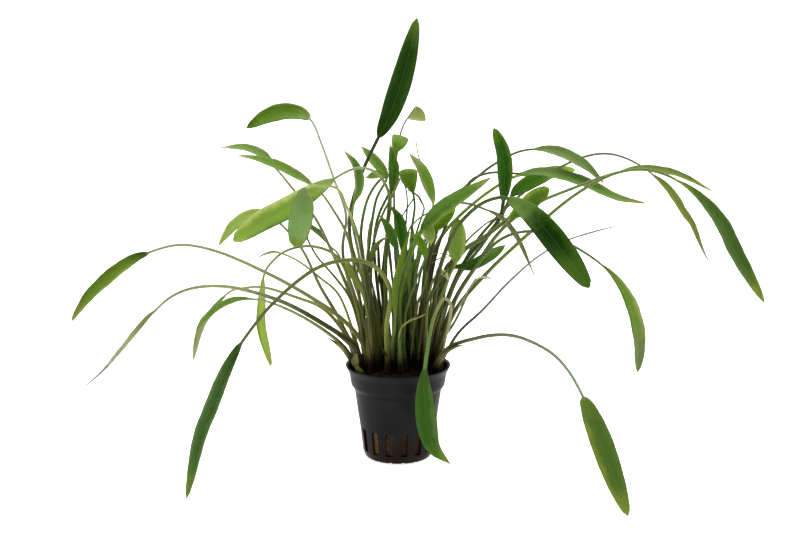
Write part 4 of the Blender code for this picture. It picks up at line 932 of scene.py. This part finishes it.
def sprout(route, spec, dice, longest):
    """A thin young stalk beside an older one that ends in a narrow unopened blade, as rings of points."""
    length = min(dice.uniform(0.4, 1.0) * longest, 0.8 * route["base"])
    share = np.linspace(0.0, 1.0, SPROUT_RINGS)
    run = length * share
    middle, width, face = leaf_frames(route, spec, run)
    middle = middle - np.array([0.0, 0.0, 2.5]) * (1.0 - smooth_step(share, 0.0, 0.15))[:, None]
    turn = dice.uniform(0.0, 2 * math.pi) + dice.uniform(-1.2, 1.2) * share
    reach = stalk_radius(route, spec, run) + dice.uniform(0.5, 1.2) + dice.uniform(*SPROUT_LEANS) * share
    centre = middle + reach[:, None] * (np.cos(turn)[:, None] * width + np.sin(turn)[:, None] * face)
    thin = dice.uniform(*SPROUT_RADII) * (1.0 - 0.36 * share)
    blade = dice.uniform(*SPROUT_BLADES) * (length / 100.0)
    blade = blade * np.sin(np.pi * np.clip((share - 0.6) / 0.4, 0.0, 1.0)) ** 0.8
    twist = dice.uniform(0.0, math.pi)
    flat_way = math.cos(twist) * width + math.sin(twist) * face
    thick_way = math.cos(twist) * face - math.sin(twist) * width
    closed = np.where(share > 0.99, 0.2, 1.0)
    deep = np.maximum(thin / (1.0 + 0.5 * blade), 0.3) * closed
    return tube_rings(centre, flat_way, thick_way, (thin + blade) * closed, deep)


def wisp(points, ahead, thick):
    """A thin stem along a route of its own, seen from the front, as rings of points."""
    line = smooth_line(points, 8)
    share = np.linspace(0.0, 1.0, len(line))
    middle = seen_to_real(line[:, 0], line[:, 1], ahead[0] + (ahead[1] - ahead[0]) * share)
    along = np.gradient(middle, axis=0)
    side = unit(np.cross(along, (0.0, -1.0, 0.0)))
    radius = thick[0] + (thick[1] - thick[0]) * share
    return tube_rings(middle, side, unit(np.cross(side, along)), radius, radius)


def growths(name, route, dice):
    """Rings, papery share and greens of each sheath, sprout and thin stem of one leaf."""
    spec = LEAVES[name]
    for _ in range(dice.choice(SHEATHS_PER_STALK)):
        yield sheath(route, spec, dice), dice.random() ** 1.5, (-0.95, -0.95)
    count, longest, green = SPROUTS.get(name, (0, 0.0, 0.0))
    browning = 0.75 if spec["root"][0] > BROWN_SIDE else 0.35
    for _ in range(count):
        brown = browning * dice.random() ** 2
        yield sprout(route, spec, dice, longest), brown, (-1.0, green - 0.3 * dice.random())
    for points, ahead, thick, greens, brown in WISPS.get(name, ()):
        yield wisp(points, ahead, thick), brown, greens


def growth_mesh(name, route, first, seed):
    """Points, faces, papery shares and greens of all that grows beside one stalk."""
    verts, faces, husks, shares = [np.zeros((0, 3))], [], [np.zeros(0)], [np.zeros(0)]
    for rings, brown, greens in growths(name, route, random.Random(seed)):
        count, points = rings.shape[:2]
        faces += tube_faces(first + sum(map(len, verts)), count, points)
        verts.append(np.vstack([rings.reshape(-1, 3), [rings[-1].mean(axis=0), rings[0].mean(axis=0)]]))
        green = np.linspace(*greens, count)
        husks.append(np.full(len(verts[-1]), brown))
        shares.append(np.concatenate([np.repeat(green, points), green[-1:], green[:1]]))
    return np.vstack(verts), faces, np.concatenate(husks), np.concatenate(shares)


def dress_leaf(name, route, index):
    """The visible leaf: its fine mesh with the young growth beside its stalk, and its own greens."""
    fine, spec = fine_route(route), {**LEAVES[name], **FINER.get(name, {})}
    rings, tip, marks, grain = leaf_surface(fine, spec, index + 1.0)
    verts = np.vstack([rings.reshape(-1, 3), tip, rings[0].mean(axis=0)])
    faces = tube_faces(0, len(rings), RING_POINTS)
    more, sides, husks, shares = growth_mesh(name, fine, len(verts), 100 + index)
    none = np.zeros(len(more))
    marks = {
        "across": np.concatenate([marks["across"], (0.0, 0.0), none]),
        "share": np.concatenate([marks["share"], (1.0, -1.0), shares]),
        "under": np.concatenate([marks["under"], (0.0, 0.0), none]),
        "husk": np.concatenate([np.zeros(len(verts)), husks]),
    }
    node = f"leaf_{name}"
    verts, faces = np.vstack([verts, more]), faces + sides
    piece = add_piece(f"{node}_fine", verts, faces, leaf_material(name), node)
    set_marks(piece.data, marks, np.vstack([grain, grain[-1:], grain[:1], more]))


def from_hex(text, tune=(1.0, 1.0, 1.0)):
    """Linear colour from a hexadecimal screen colour, each part scaled by tune."""
    parts = [int(text[place : place + 2], 16) / 255 for place in (0, 2, 4)]
    linear = [part / 12.92 if part <= 0.04045 else ((part + 0.055) / 1.055) ** 2.4 for part in parts]
    return tuple(part * factor for part, factor in zip(linear, tune)) + (1.0,)


class Nodes:
    """Short ways to add shader nodes and join them."""

    def __init__(self, tree):
        self.tree = tree

    def add(self, kind, inputs=(), **settings):
        """A node with its settings and inputs. An input is a number, a colour or another node's output."""
        node = self.tree.nodes.new(kind)
        for key, value in settings.items():
            setattr(node, key, value)
        for key, value in dict(inputs).items():
            self.join(value, node.inputs[key])
        return node

    def join(self, value, socket):
        """Links an output to the socket, or sets its value."""
        if isinstance(value, bpy.types.NodeSocket):
            self.tree.links.new(value, socket)
        else:
            socket.default_value = value

    def mark(self, name, output="Fac"):
        """A stored value of the mesh."""
        return self.add("ShaderNodeAttribute", attribute_name=name).outputs[output]

    def place(self):
        """The point on the object in metres, and its parts."""
        place = self.add("ShaderNodeTexCoord").outputs["Object"]
        return place, self.add("ShaderNodeSeparateXYZ", {0: place}).outputs

    def math(self, operation, first, second=0.0):
        """One sum."""
        return self.add("ShaderNodeMath", {0: first, 1: second}, operation=operation).outputs[0]

    def plus(self, first, second):
        """Two numbers added."""
        return self.math("ADD", first, second)

    def times(self, first, second):
        """Two numbers multiplied."""
        return self.math("MULTIPLY", first, second)

    def rise(self, value, low, high, start=0.0, end=1.0, kind="SMOOTHSTEP"):
        """A step from start at low to end at high."""
        inputs = dict(enumerate((value, low, high, start, end)))
        return self.add("ShaderNodeMapRange", inputs, interpolation_type=kind).outputs[0]

    def mix(self, share, first, second, blend="MIX"):
        """Two colours mixed."""
        inputs = {0: share, 6: first, 7: second}
        return self.add("ShaderNodeMix", inputs, data_type="RGBA", blend_type=blend).outputs[2]

    def noise(self, vector, scale, detail=3.0, roughness=0.55):
        """Soft noise from 0 to 1."""
        inputs = {"Vector": vector, "Scale": scale, "Detail": detail, "Roughness": roughness}
        return self.add("ShaderNodeTexNoise", inputs).outputs["Fac"]

    def stretch(self, vector, factors):
        """A vector with each part multiplied."""
        return self.add("ShaderNodeVectorMath", {0: vector, 1: factors}, operation="MULTIPLY").outputs[0]

    def bump(self, height, strength, distance):
        """A normal from a height."""
        inputs = {"Height": height, "Strength": strength, "Distance": distance}
        return self.add("ShaderNodeBump", inputs).outputs["Normal"]


def new_material(name):
    """A material with its Principled shader, ready for nodes."""
    material = bpy.data.materials.new(name)
    material.use_nodes = True
    return material, Nodes(material.node_tree)


def set_surface(nodes, shine, inputs):
    """The Principled shader with its inputs joined and its specular level set."""
    shader = nodes.tree.nodes["Principled BSDF"]
    for key, value in inputs.items():
        nodes.join(value, shader.inputs[key])
    shader.inputs["Specular IOR Level"].default_value = shine
    return shader


def blade_colour(nodes, colours, across, share, mottle):
    """Colour over the blade: edges, middle, tip and base."""
    low, middle, high, tip, base = (from_hex(colours[key], BLADE_TUNE) for key in LOOK_KEYS[:5])
    drift = nodes.times(nodes.math("SUBTRACT", mottle, 0.5), 0.9)
    place = nodes.plus(across, drift)
    colour = nodes.mix(nodes.rise(place, -0.25, -0.95), middle, low)
    colour = nodes.mix(nodes.rise(place, 0.25, 0.95), colour, high)
    along = nodes.plus(share, nodes.times(drift, 0.25))
    base_end, base_full, tip_start, tip_full = colours["fade"]
    colour = nodes.mix(nodes.rise(along, tip_start, tip_full), colour, tip)
    return nodes.mix(nodes.rise(along, base_end, base_full), colour, base)


def veins(nodes, across, grain, share):
    """How strong the midrib, the arching side veins and the fine ladder between them are at a point."""
    offset = nodes.math("ABSOLUTE", nodes.add("ShaderNodeSeparateXYZ", {0: grain}).outputs["X"])
    wave = nodes.math("ABSOLUTE", nodes.math("COSINE", nodes.times(across, math.pi * VEIN_WAVES)))
    side = nodes.times(nodes.rise(wave, 0.9, 1.0), nodes.rise(share, 0.02, 0.12))
    ladder = nodes.math("SUBTRACT", nodes.noise(nodes.stretch(grain, (0.35, 1.6, 1.0)), 1.0, 2.0), 0.5)
    return nodes.rise(offset, 0.5, 0.12), side, nodes.rise(nodes.math("ABSOLUTE", ladder), 0.03, 0.0)


def stalk_colour(nodes, colours, share, streak, freckle):
    """Colour over the stalk: foot to blade, dark streaks, papery husk, and painted shade low in the crown.
    """
    foot, stalk = from_hex(colours["foot"], FOOT_TUNE), from_hex(colours["stalk"], STALK_TUNE)
    stalk = nodes.mix(nodes.rise(share, *colours["foot_fade"]), foot, stalk)
    stalk = nodes.mix(nodes.rise(streak, 0.35, 0.7, 0.0, 0.55), stalk, nodes.mix(0.6, stalk, STREAK_TINT))
    husk = nodes.mix(nodes.rise(freckle, 0.35, 0.65), *map(from_hex, HUSK_COLOURS))
    stalk = nodes.mix(nodes.mark("husk"), stalk, husk)
    height = nodes.place()[1]["Z"]
    # Painted shade: the lowest part of each stalk darkens towards the plug, where the crowded crown lies in
    # shade.
    foot_shade = nodes.times(nodes.rise(height, *FOOT_SHADE_HEIGHTS, 0.0, 0.9), nodes.rise(share, -0.55, -0.75))
    return nodes.mix(foot_shade, stalk, from_hex(FOOT_SHADE_COLOUR))


def leaf_material(name):
    """Leaf tissue: greens over the leaf, veins, freckles, a paler underside and some light through it."""
    colours = LOOKS[name]
    material, nodes = new_material(f"leaf_{name}")
    across, share, under = (nodes.mark(key) for key in ("across", "share", "under"))
    grain = nodes.mark("grain", "Vector")
    mottle = nodes.noise(grain, 0.16, 3.0)
    freckle = nodes.noise(grain, 1.4, 4.0, 0.65)
    streak = nodes.noise(nodes.stretch(grain, (1.6, 0.05, 1.0)), 1.0, 3.0)
    midrib, side, ladder = veins(nodes, across, grain, share)
    pale = nodes.plus(nodes.times(midrib, 0.1), nodes.times(side, 0.04))
    pale = nodes.plus(pale, nodes.times(ladder, 0.02))
    blade = blade_colour(nodes, colours, across, share, mottle)
    blade = nodes.mix(pale, blade, nodes.mix(0.5, blade, VEIN_TINT))
    blade = nodes.mix(nodes.times(under, 0.22), blade, UNDERSIDE_TINT)
    stalk = stalk_colour(nodes, colours, share, streak, freckle)
    colour = nodes.mix(nodes.rise(share, -0.015, 0.05), stalk, blade)
    worn = nodes.rise(freckle, 0.3, 0.75, 0.86, 1.12)
    worn = nodes.add("ShaderNodeCombineColor", dict.fromkeys(range(3), worn)).outputs[0]
    colour = nodes.mix(1.0, colour, worn, "MULTIPLY")
    rough = nodes.rise(mottle, 0.3, 0.7, colours["shine"] - 0.06, colours["shine"] + 0.08)
    relief = nodes.plus(nodes.times(side, -0.5), nodes.times(ladder, -0.25))
    relief = nodes.plus(relief, nodes.times(freckle, 0.35))
    relief = nodes.plus(relief, nodes.times(streak, nodes.rise(share, 0.0, -0.05)))
    rough = nodes.plus(rough, nodes.times(under, 0.1))
    inputs = {"Base Color": colour, "Roughness": rough, "Normal": nodes.bump(relief, 0.5, 0.00015)}
    shader = set_surface(nodes, LEAF_SHINE, inputs)
    through = nodes.mix(1.0, colour, THROUGH_TINT, "MULTIPLY")
    glow = nodes.add("ShaderNodeBsdfTranslucent", {"Color": through})
    amount = nodes.rise(share, -0.02, 0.06, 0.3 * colours["glow"], colours["glow"])
    both = nodes.add("ShaderNodeMixShader", {0: amount, 1: shader.outputs[0], 2: glow.outputs[0]})
    nodes.join(both.outputs[0], material.node_tree.nodes["Material Output"].inputs["Surface"])
    return material


def pot_material():
    """Charcoal moulded plastic: grain, flow lines, dust, a damp brown foot and painted shade on the collar
    step.
    """
    material, nodes = new_material("net_pot_plastic")
    place, parts = nodes.place()
    cloud = nodes.noise(place, 55.0, 5.0, 0.6)
    grain = nodes.noise(place, 2600.0, 2.0)
    lines = nodes.noise(nodes.stretch(place, (500.0, 500.0, 18.0)), 1.0, 2.0)
    colour = nodes.mix(nodes.rise(cloud, 0.35, 0.75), *map(from_hex, PLASTIC_COLOURS))
    damp = nodes.rise(nodes.plus(parts["Z"], nodes.times(cloud, 0.012)), *DAMP_HEIGHTS)
    colour = nodes.mix(nodes.times(damp, 0.85), colour, from_hex(DAMP_COLOUR))
    # Painted shade: the collar step is darkened towards near black between two heights.
    step = nodes.times(nodes.rise(parts["Z"], *STEP_SHADE_LOW), nodes.rise(parts["Z"], *STEP_SHADE_HIGH))
    colour = nodes.mix(nodes.times(step, 0.7), colour, from_hex(STEP_SHADE_COLOUR))
    specks = nodes.rise(nodes.noise(place, 900.0, 2.0), 0.68, 0.8, 0.0, 0.15)
    colour = nodes.mix(specks, colour, from_hex(DUST_COLOUR))
    rough = nodes.plus(nodes.rise(cloud, 0.3, 0.7, 0.4, 0.55), nodes.times(damp, -0.12))
    relief = nodes.plus(nodes.times(grain, 0.6), nodes.times(lines, 0.5))
    inputs = {"Base Color": colour, "Roughness": rough, "Normal": nodes.bump(relief, 0.25, 0.0001)}
    set_surface(nodes, PLASTIC_SHINE, inputs)
    return material


def wool_material():
    """Wet rock wool: brown fibres with rusty patches, dark peat on the right and a crown painted nearly
    black as shade.
    """
    material, nodes = new_material("rock_wool")
    place, parts = nodes.place()
    cloud = nodes.noise(place, 130.0, 4.0, 0.6)
    fibre = nodes.noise(nodes.stretch(place, (1.0, 1.0, 0.22)), 1500.0, 4.0, 0.7)
    rust = nodes.noise(place, 70.0, 2.0)
    colour = nodes.mix(nodes.rise(cloud, 0.4, 0.66), *map(from_hex, WOOL_COLOURS))
    colour = nodes.mix(nodes.rise(fibre, 0.5, 0.72, 0.0, 0.8), colour, from_hex(FIBRE_COLOUR))
    colour = nodes.mix(nodes.rise(rust, 0.56, 0.68, 0.0, 0.7), colour, from_hex(RUST_COLOUR))
    colour = nodes.mix(nodes.rise(parts["X"], *PEAT_SIDE, 0.0, 0.75), colour, from_hex(PEAT_COLOUR))
    # Painted shade: the plug's top, under the leaves inside the rim, is darkened to nearly black.
    crown = nodes.times(nodes.rise(parts["Z"], *CROWN_SHADE_HEIGHTS), 0.95)
    colour = nodes.mix(crown, colour, from_hex(CROWN_SHADE_COLOUR))
    rough = nodes.rise(cloud, 0.3, 0.7, 0.55, 0.9)
    inputs = {"Base Color": colour, "Roughness": rough, "Normal": nodes.bump(fibre, 0.8, 0.0005)}
    set_surface(nodes, WOOL_SHINE, inputs)
    return material


def lathe(profile, columns):
    """Points and faces of a profile turned about the pot's axis, from the axis out and back to it."""
    angles = np.linspace(0.0, 2 * np.pi, columns, endpoint=False)
    verts = [(0.0, 0.0, profile[0][1]), (0.0, 0.0, profile[-1][1])]
    for radius, height in profile[1:-1]:
        verts += [(radius * math.cos(a), radius * math.sin(a), height) for a in angles]
    rows = len(profile) - 2
    last = 2 + (rows - 1) * columns
    faces = []
    for column in range(columns):
        after = (column + 1) % columns
        for row in range(rows - 1):
            here, there = 2 + row * columns, 2 + (row + 1) * columns
            faces.append((here + column, here + after, there + after, there + column))
        faces.append((0, 2 + after, 2 + column))
        faces.append((1, last + column, last + after))
    return np.array(verts), faces


def rounded(points, reach, steps):
    """A profile with its corners rounded."""
    line = [points[0]]
    for before, corner, after in zip(points, points[1:], points[2:]):
        corner = np.array(corner)
        to_before, to_after = np.array(before) - corner, np.array(after) - corner
        near = min(reach, 0.4 * np.linalg.norm(to_before), 0.4 * np.linalg.norm(to_after))
        start, end = corner + near * unit(to_before), corner + near * unit(to_after)
        for share in np.linspace(0.0, 1.0, steps + 1):
            line.append(tuple((1 - share) ** 2 * start + 2 * share * (1 - share) * corner + share**2 * end))
    return line + [points[-1]]


def slot_cutter(angle, width, low, high, inner, corner):
    """Points and faces of a bar with rounded corners that cuts one opening of the pot."""
    side, top, bottom = 0.5 * width - corner, high - corner, low + corner
    outline = []
    for quarter, (x, z) in enumerate(((side, top), (-side, top), (-side, bottom), (side, bottom))):
        for turn in (0.0, 30.0, 60.0, 90.0):
            a = math.radians(90.0 * quarter + turn)
            outline.append((x + corner * math.cos(a), z + corner * math.sin(a)))
    out = np.array([math.cos(angle), math.sin(angle)])
    along = np.array([-math.sin(angle), math.cos(angle)])
    verts = []
    for reach in (inner, CUTTER_REACH):
        spread = reach / CUTTER_REACH
        verts += [(*(reach * out + spread * x * along), z) for x, z in outline]
    count = len(outline)
    faces = [tuple(range(count)), tuple(range(2 * count - 1, count - 1, -1))]
    faces += [(i, count + i, count + (i + 1) % count, (i + 1) % count) for i in range(count)]
    return verts, faces


def pot_cutters():
    """One object that holds the slots and the notches of the pot's wall."""
    verts, faces = [], []
    for index in range(SLOT_COUNT):
        angle = FIRST_SLOT + 2 * math.pi * index / SLOT_COUNT
        for opening in (SLOT, NOTCH):
            more, sides = slot_cutter(angle, *opening)
            faces += [tuple(len(verts) + i for i in side) for side in sides]
            verts += more
    return closed_object("cutters", verts, faces)


def dress_pot():
    """The visible pot: rounded lip, collar step, slots with rounded corners and notches in the foot."""
    profile = rounded(POT_OUTSIDE + POT_INSIDE[::-1], POT_CORNER, POT_CORNER_STEPS)
    pot = closed_object("pot_fine", *lathe(profile, POT_COLUMNS))
    cutters = pot_cutters()
    cut = pot.modifiers.new("openings", "BOOLEAN")
    cut.operation, cut.solver, cut.object = "DIFFERENCE", "EXACT", cutters
    bpy.context.view_layer.update()
    graph = bpy.context.evaluated_depsgraph_get()
    mesh = bpy.data.meshes.new_from_object(pot.evaluated_get(graph))
    pot.modifiers.clear()
    pot.data = mesh
    bpy.data.objects.remove(cutters, do_unlink=True)
    mesh.materials.clear()
    mesh.materials.append(pot_material())
    mesh.shade_smooth()
    mesh.set_sharp_from_angle(angle=POT_SHARP_ANGLE)
    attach(pot, "root")
    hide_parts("pot")


def lumpy(verts, amount):
    """Points pushed out and in by seeded soft noise, most on the plug's crown."""
    noise.seed_set(LUMP_SEED)
    verts = np.array(verts)
    for index, point in enumerate(verts):
        spot = Vector(point * 0.35)
        shift = noise.noise_vector(spot) * amount + noise.noise_vector(spot * 3.1) * (0.5 * amount)
        soft = 1.0 if point[2] > LUMPY_HEIGHT else 0.35
        reach = math.hypot(point[0], point[1])
        verts[index] = point + np.array(shift) * soft * (1.0 if reach > 0.5 else 0.3)
    return verts


def rootlets():
    """Thin roots and old fibres lying over the plug's crown, as tubes."""
    dice = random.Random(7)
    verts, faces = [], []
    last = ROOTLET_RINGS - 1
    for _ in range(ROOTLET_COUNT):
        angle, reach = dice.uniform(0.0, 2 * math.pi), ROOTLET_START * math.sqrt(dice.random())
        heading, size = dice.uniform(0.0, 2 * math.pi), dice.uniform(*ROOTLET_RADII)
        x, y = reach * math.cos(angle), reach * math.sin(angle)
        line = []
        for step in range(ROOTLET_RINGS):
            lift = 0.5 + 1.6 * math.sin(math.pi * step / last) * dice.uniform(0.5, 1.0)
            line.append((x, y, crown_height(math.hypot(x, y)) + lift - 0.6))
            heading += dice.uniform(-0.7, 0.7)
            x, y = x + ROOTLET_STEP * math.cos(heading), y + ROOTLET_STEP * math.sin(heading)
            reach = math.hypot(x, y)
            if reach > ROOTLET_EDGE:
                x, y = ROOTLET_INSIDE * x / reach, ROOTLET_INSIDE * y / reach
        thin = size * (1.0 - 0.5 * np.arange(ROOTLET_RINGS) / last)
        rings = tube_rings(np.array(line), (1.0, 0.5, 0.0), (0.0, 0.0, 1.0), thin, thin, ROOTLET_POINTS)
        faces += tube_faces(len(verts), ROOTLET_RINGS, ROOTLET_POINTS)
        verts += [*rings.reshape(-1, 3), line[-1], line[0]]
    return verts, faces


def dress_medium():
    """The visible plug: a lumpy fibrous body with rootlets over its crown."""
    side = [tuple(point) for point in smooth_line(MEDIUM_SIDE, 10)]
    crown = smooth_line([MEDIUM_SIDE[-1]] + MEDIUM_CROWN + [(0.6, MEDIUM_TOP)], 8)
    crown = [tuple(point) for point in crown][1:]
    profile = [(0.0, MEDIUM_SIDE[0][1])] + side + crown + [(0.0, MEDIUM_TOP)]
    verts, faces = lathe(profile, MEDIUM_COLUMNS)
    more, sides = rootlets()
    faces += [tuple(len(verts) + i for i in each) for each in sides]
    verts = np.vstack([lumpy(verts, LUMP_SIZE), more])
    add_piece("growing_medium_fine", verts, faces, wool_material(), "growing_medium")


def white_floor():
    """A wide white sweep that glows a little, so that shadows stay as faint as in a photo tent."""
    floor = closed_object("floor", FLOOR_CORNERS, [(0, 1, 2, 3)])
    material, nodes = new_material("white_sweep")
    inputs = {"Base Color": FLOOR_COLOUR, "Roughness": 0.9}
    glow = {"Emission Color": WHITE, "Emission Strength": FLOOR_GLOW}
    set_surface(nodes, 0.0, {**inputs, **glow})
    floor.data.materials.append(material)


def soft_light(name, place, size, power):
    """A rectangular soft box that points at the middle of the plant."""
    lamp = bpy.data.lights.new(name, "AREA")
    lamp.shape = "RECTANGLE"
    lamp.size, lamp.size_y = size
    lamp.energy = power
    thing = bpy.data.objects.new(name, lamp)
    bpy.context.scene.collection.objects.link(thing)
    thing.location = place
    thing.rotation_euler = (Vector(LIGHT_AIM) - Vector(place)).to_track_quat("-Z", "Y").to_euler()


def light_studio():
    """A white sky that is seen at full strength but lights mostly from above and behind, and soft boxes."""
    world = bpy.data.worlds.new("studio")
    world.use_nodes = True
    nodes = Nodes(world.node_tree)
    way = nodes.add("ShaderNodeTexCoord").outputs["Generated"]
    parts = nodes.add("ShaderNodeSeparateXYZ", {0: way}).outputs
    above = nodes.rise(parts["Z"], 0.0, 0.9, SKY_LOW, SKY_TOP, "LINEAR")
    behind = nodes.rise(parts["Y"], -0.7, 0.6, SKY_FRONT, 1.0, "LINEAR")
    lit = world.node_tree.nodes["Background"]
    nodes.join(WHITE, lit.inputs["Color"])
    nodes.join(nodes.times(above, behind), lit.inputs["Strength"])
    seen = nodes.add("ShaderNodeBackground", {"Color": WHITE})
    ray = nodes.add("ShaderNodeLightPath").outputs["Is Camera Ray"]
    both = nodes.add("ShaderNodeMixShader", {0: ray, 1: lit.outputs[0], 2: seen.outputs[0]})
    nodes.join(both.outputs[0], world.node_tree.nodes["World Output"].inputs["Surface"])
    bpy.context.scene.world = world
    for name, (place, size, power) in LIGHTS.items():
        soft_light(name, place, size, power)


def set_camera():
    """The photo's viewpoint: a long lens, a little above the pot."""
    lens = bpy.data.cameras.new("camera")
    lens.lens = LENS
    lens.sensor_width = SENSOR_WIDTH
    lens.clip_start = 0.01
    lens.clip_end = 60.0
    camera = bpy.data.objects.new("camera", lens)
    bpy.context.scene.collection.objects.link(camera)
    camera.location = (EYE_X * MM, -EYE_AHEAD * MM, EYE_Z * MM)
    camera.rotation_euler = (math.radians(CAMERA_TILT), 0.0, 0.0)
    bpy.context.scene.camera = camera


def main():
    """Dresses every node, lights the scene and sets the camera."""
    bpy.context.scene.view_settings.view_transform = "Standard"
    dress_pot()
    dress_medium()
    for index, (name, route) in enumerate(all_routes().items()):
        dress_leaf(name, route, index)
    white_floor()
    light_studio()
    set_camera()


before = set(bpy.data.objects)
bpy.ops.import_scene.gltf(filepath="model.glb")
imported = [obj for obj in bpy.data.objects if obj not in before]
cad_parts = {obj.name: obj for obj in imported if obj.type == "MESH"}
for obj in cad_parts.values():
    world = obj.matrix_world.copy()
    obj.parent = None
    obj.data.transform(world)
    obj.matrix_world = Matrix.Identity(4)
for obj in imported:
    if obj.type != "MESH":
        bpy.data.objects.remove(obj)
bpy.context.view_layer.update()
main()
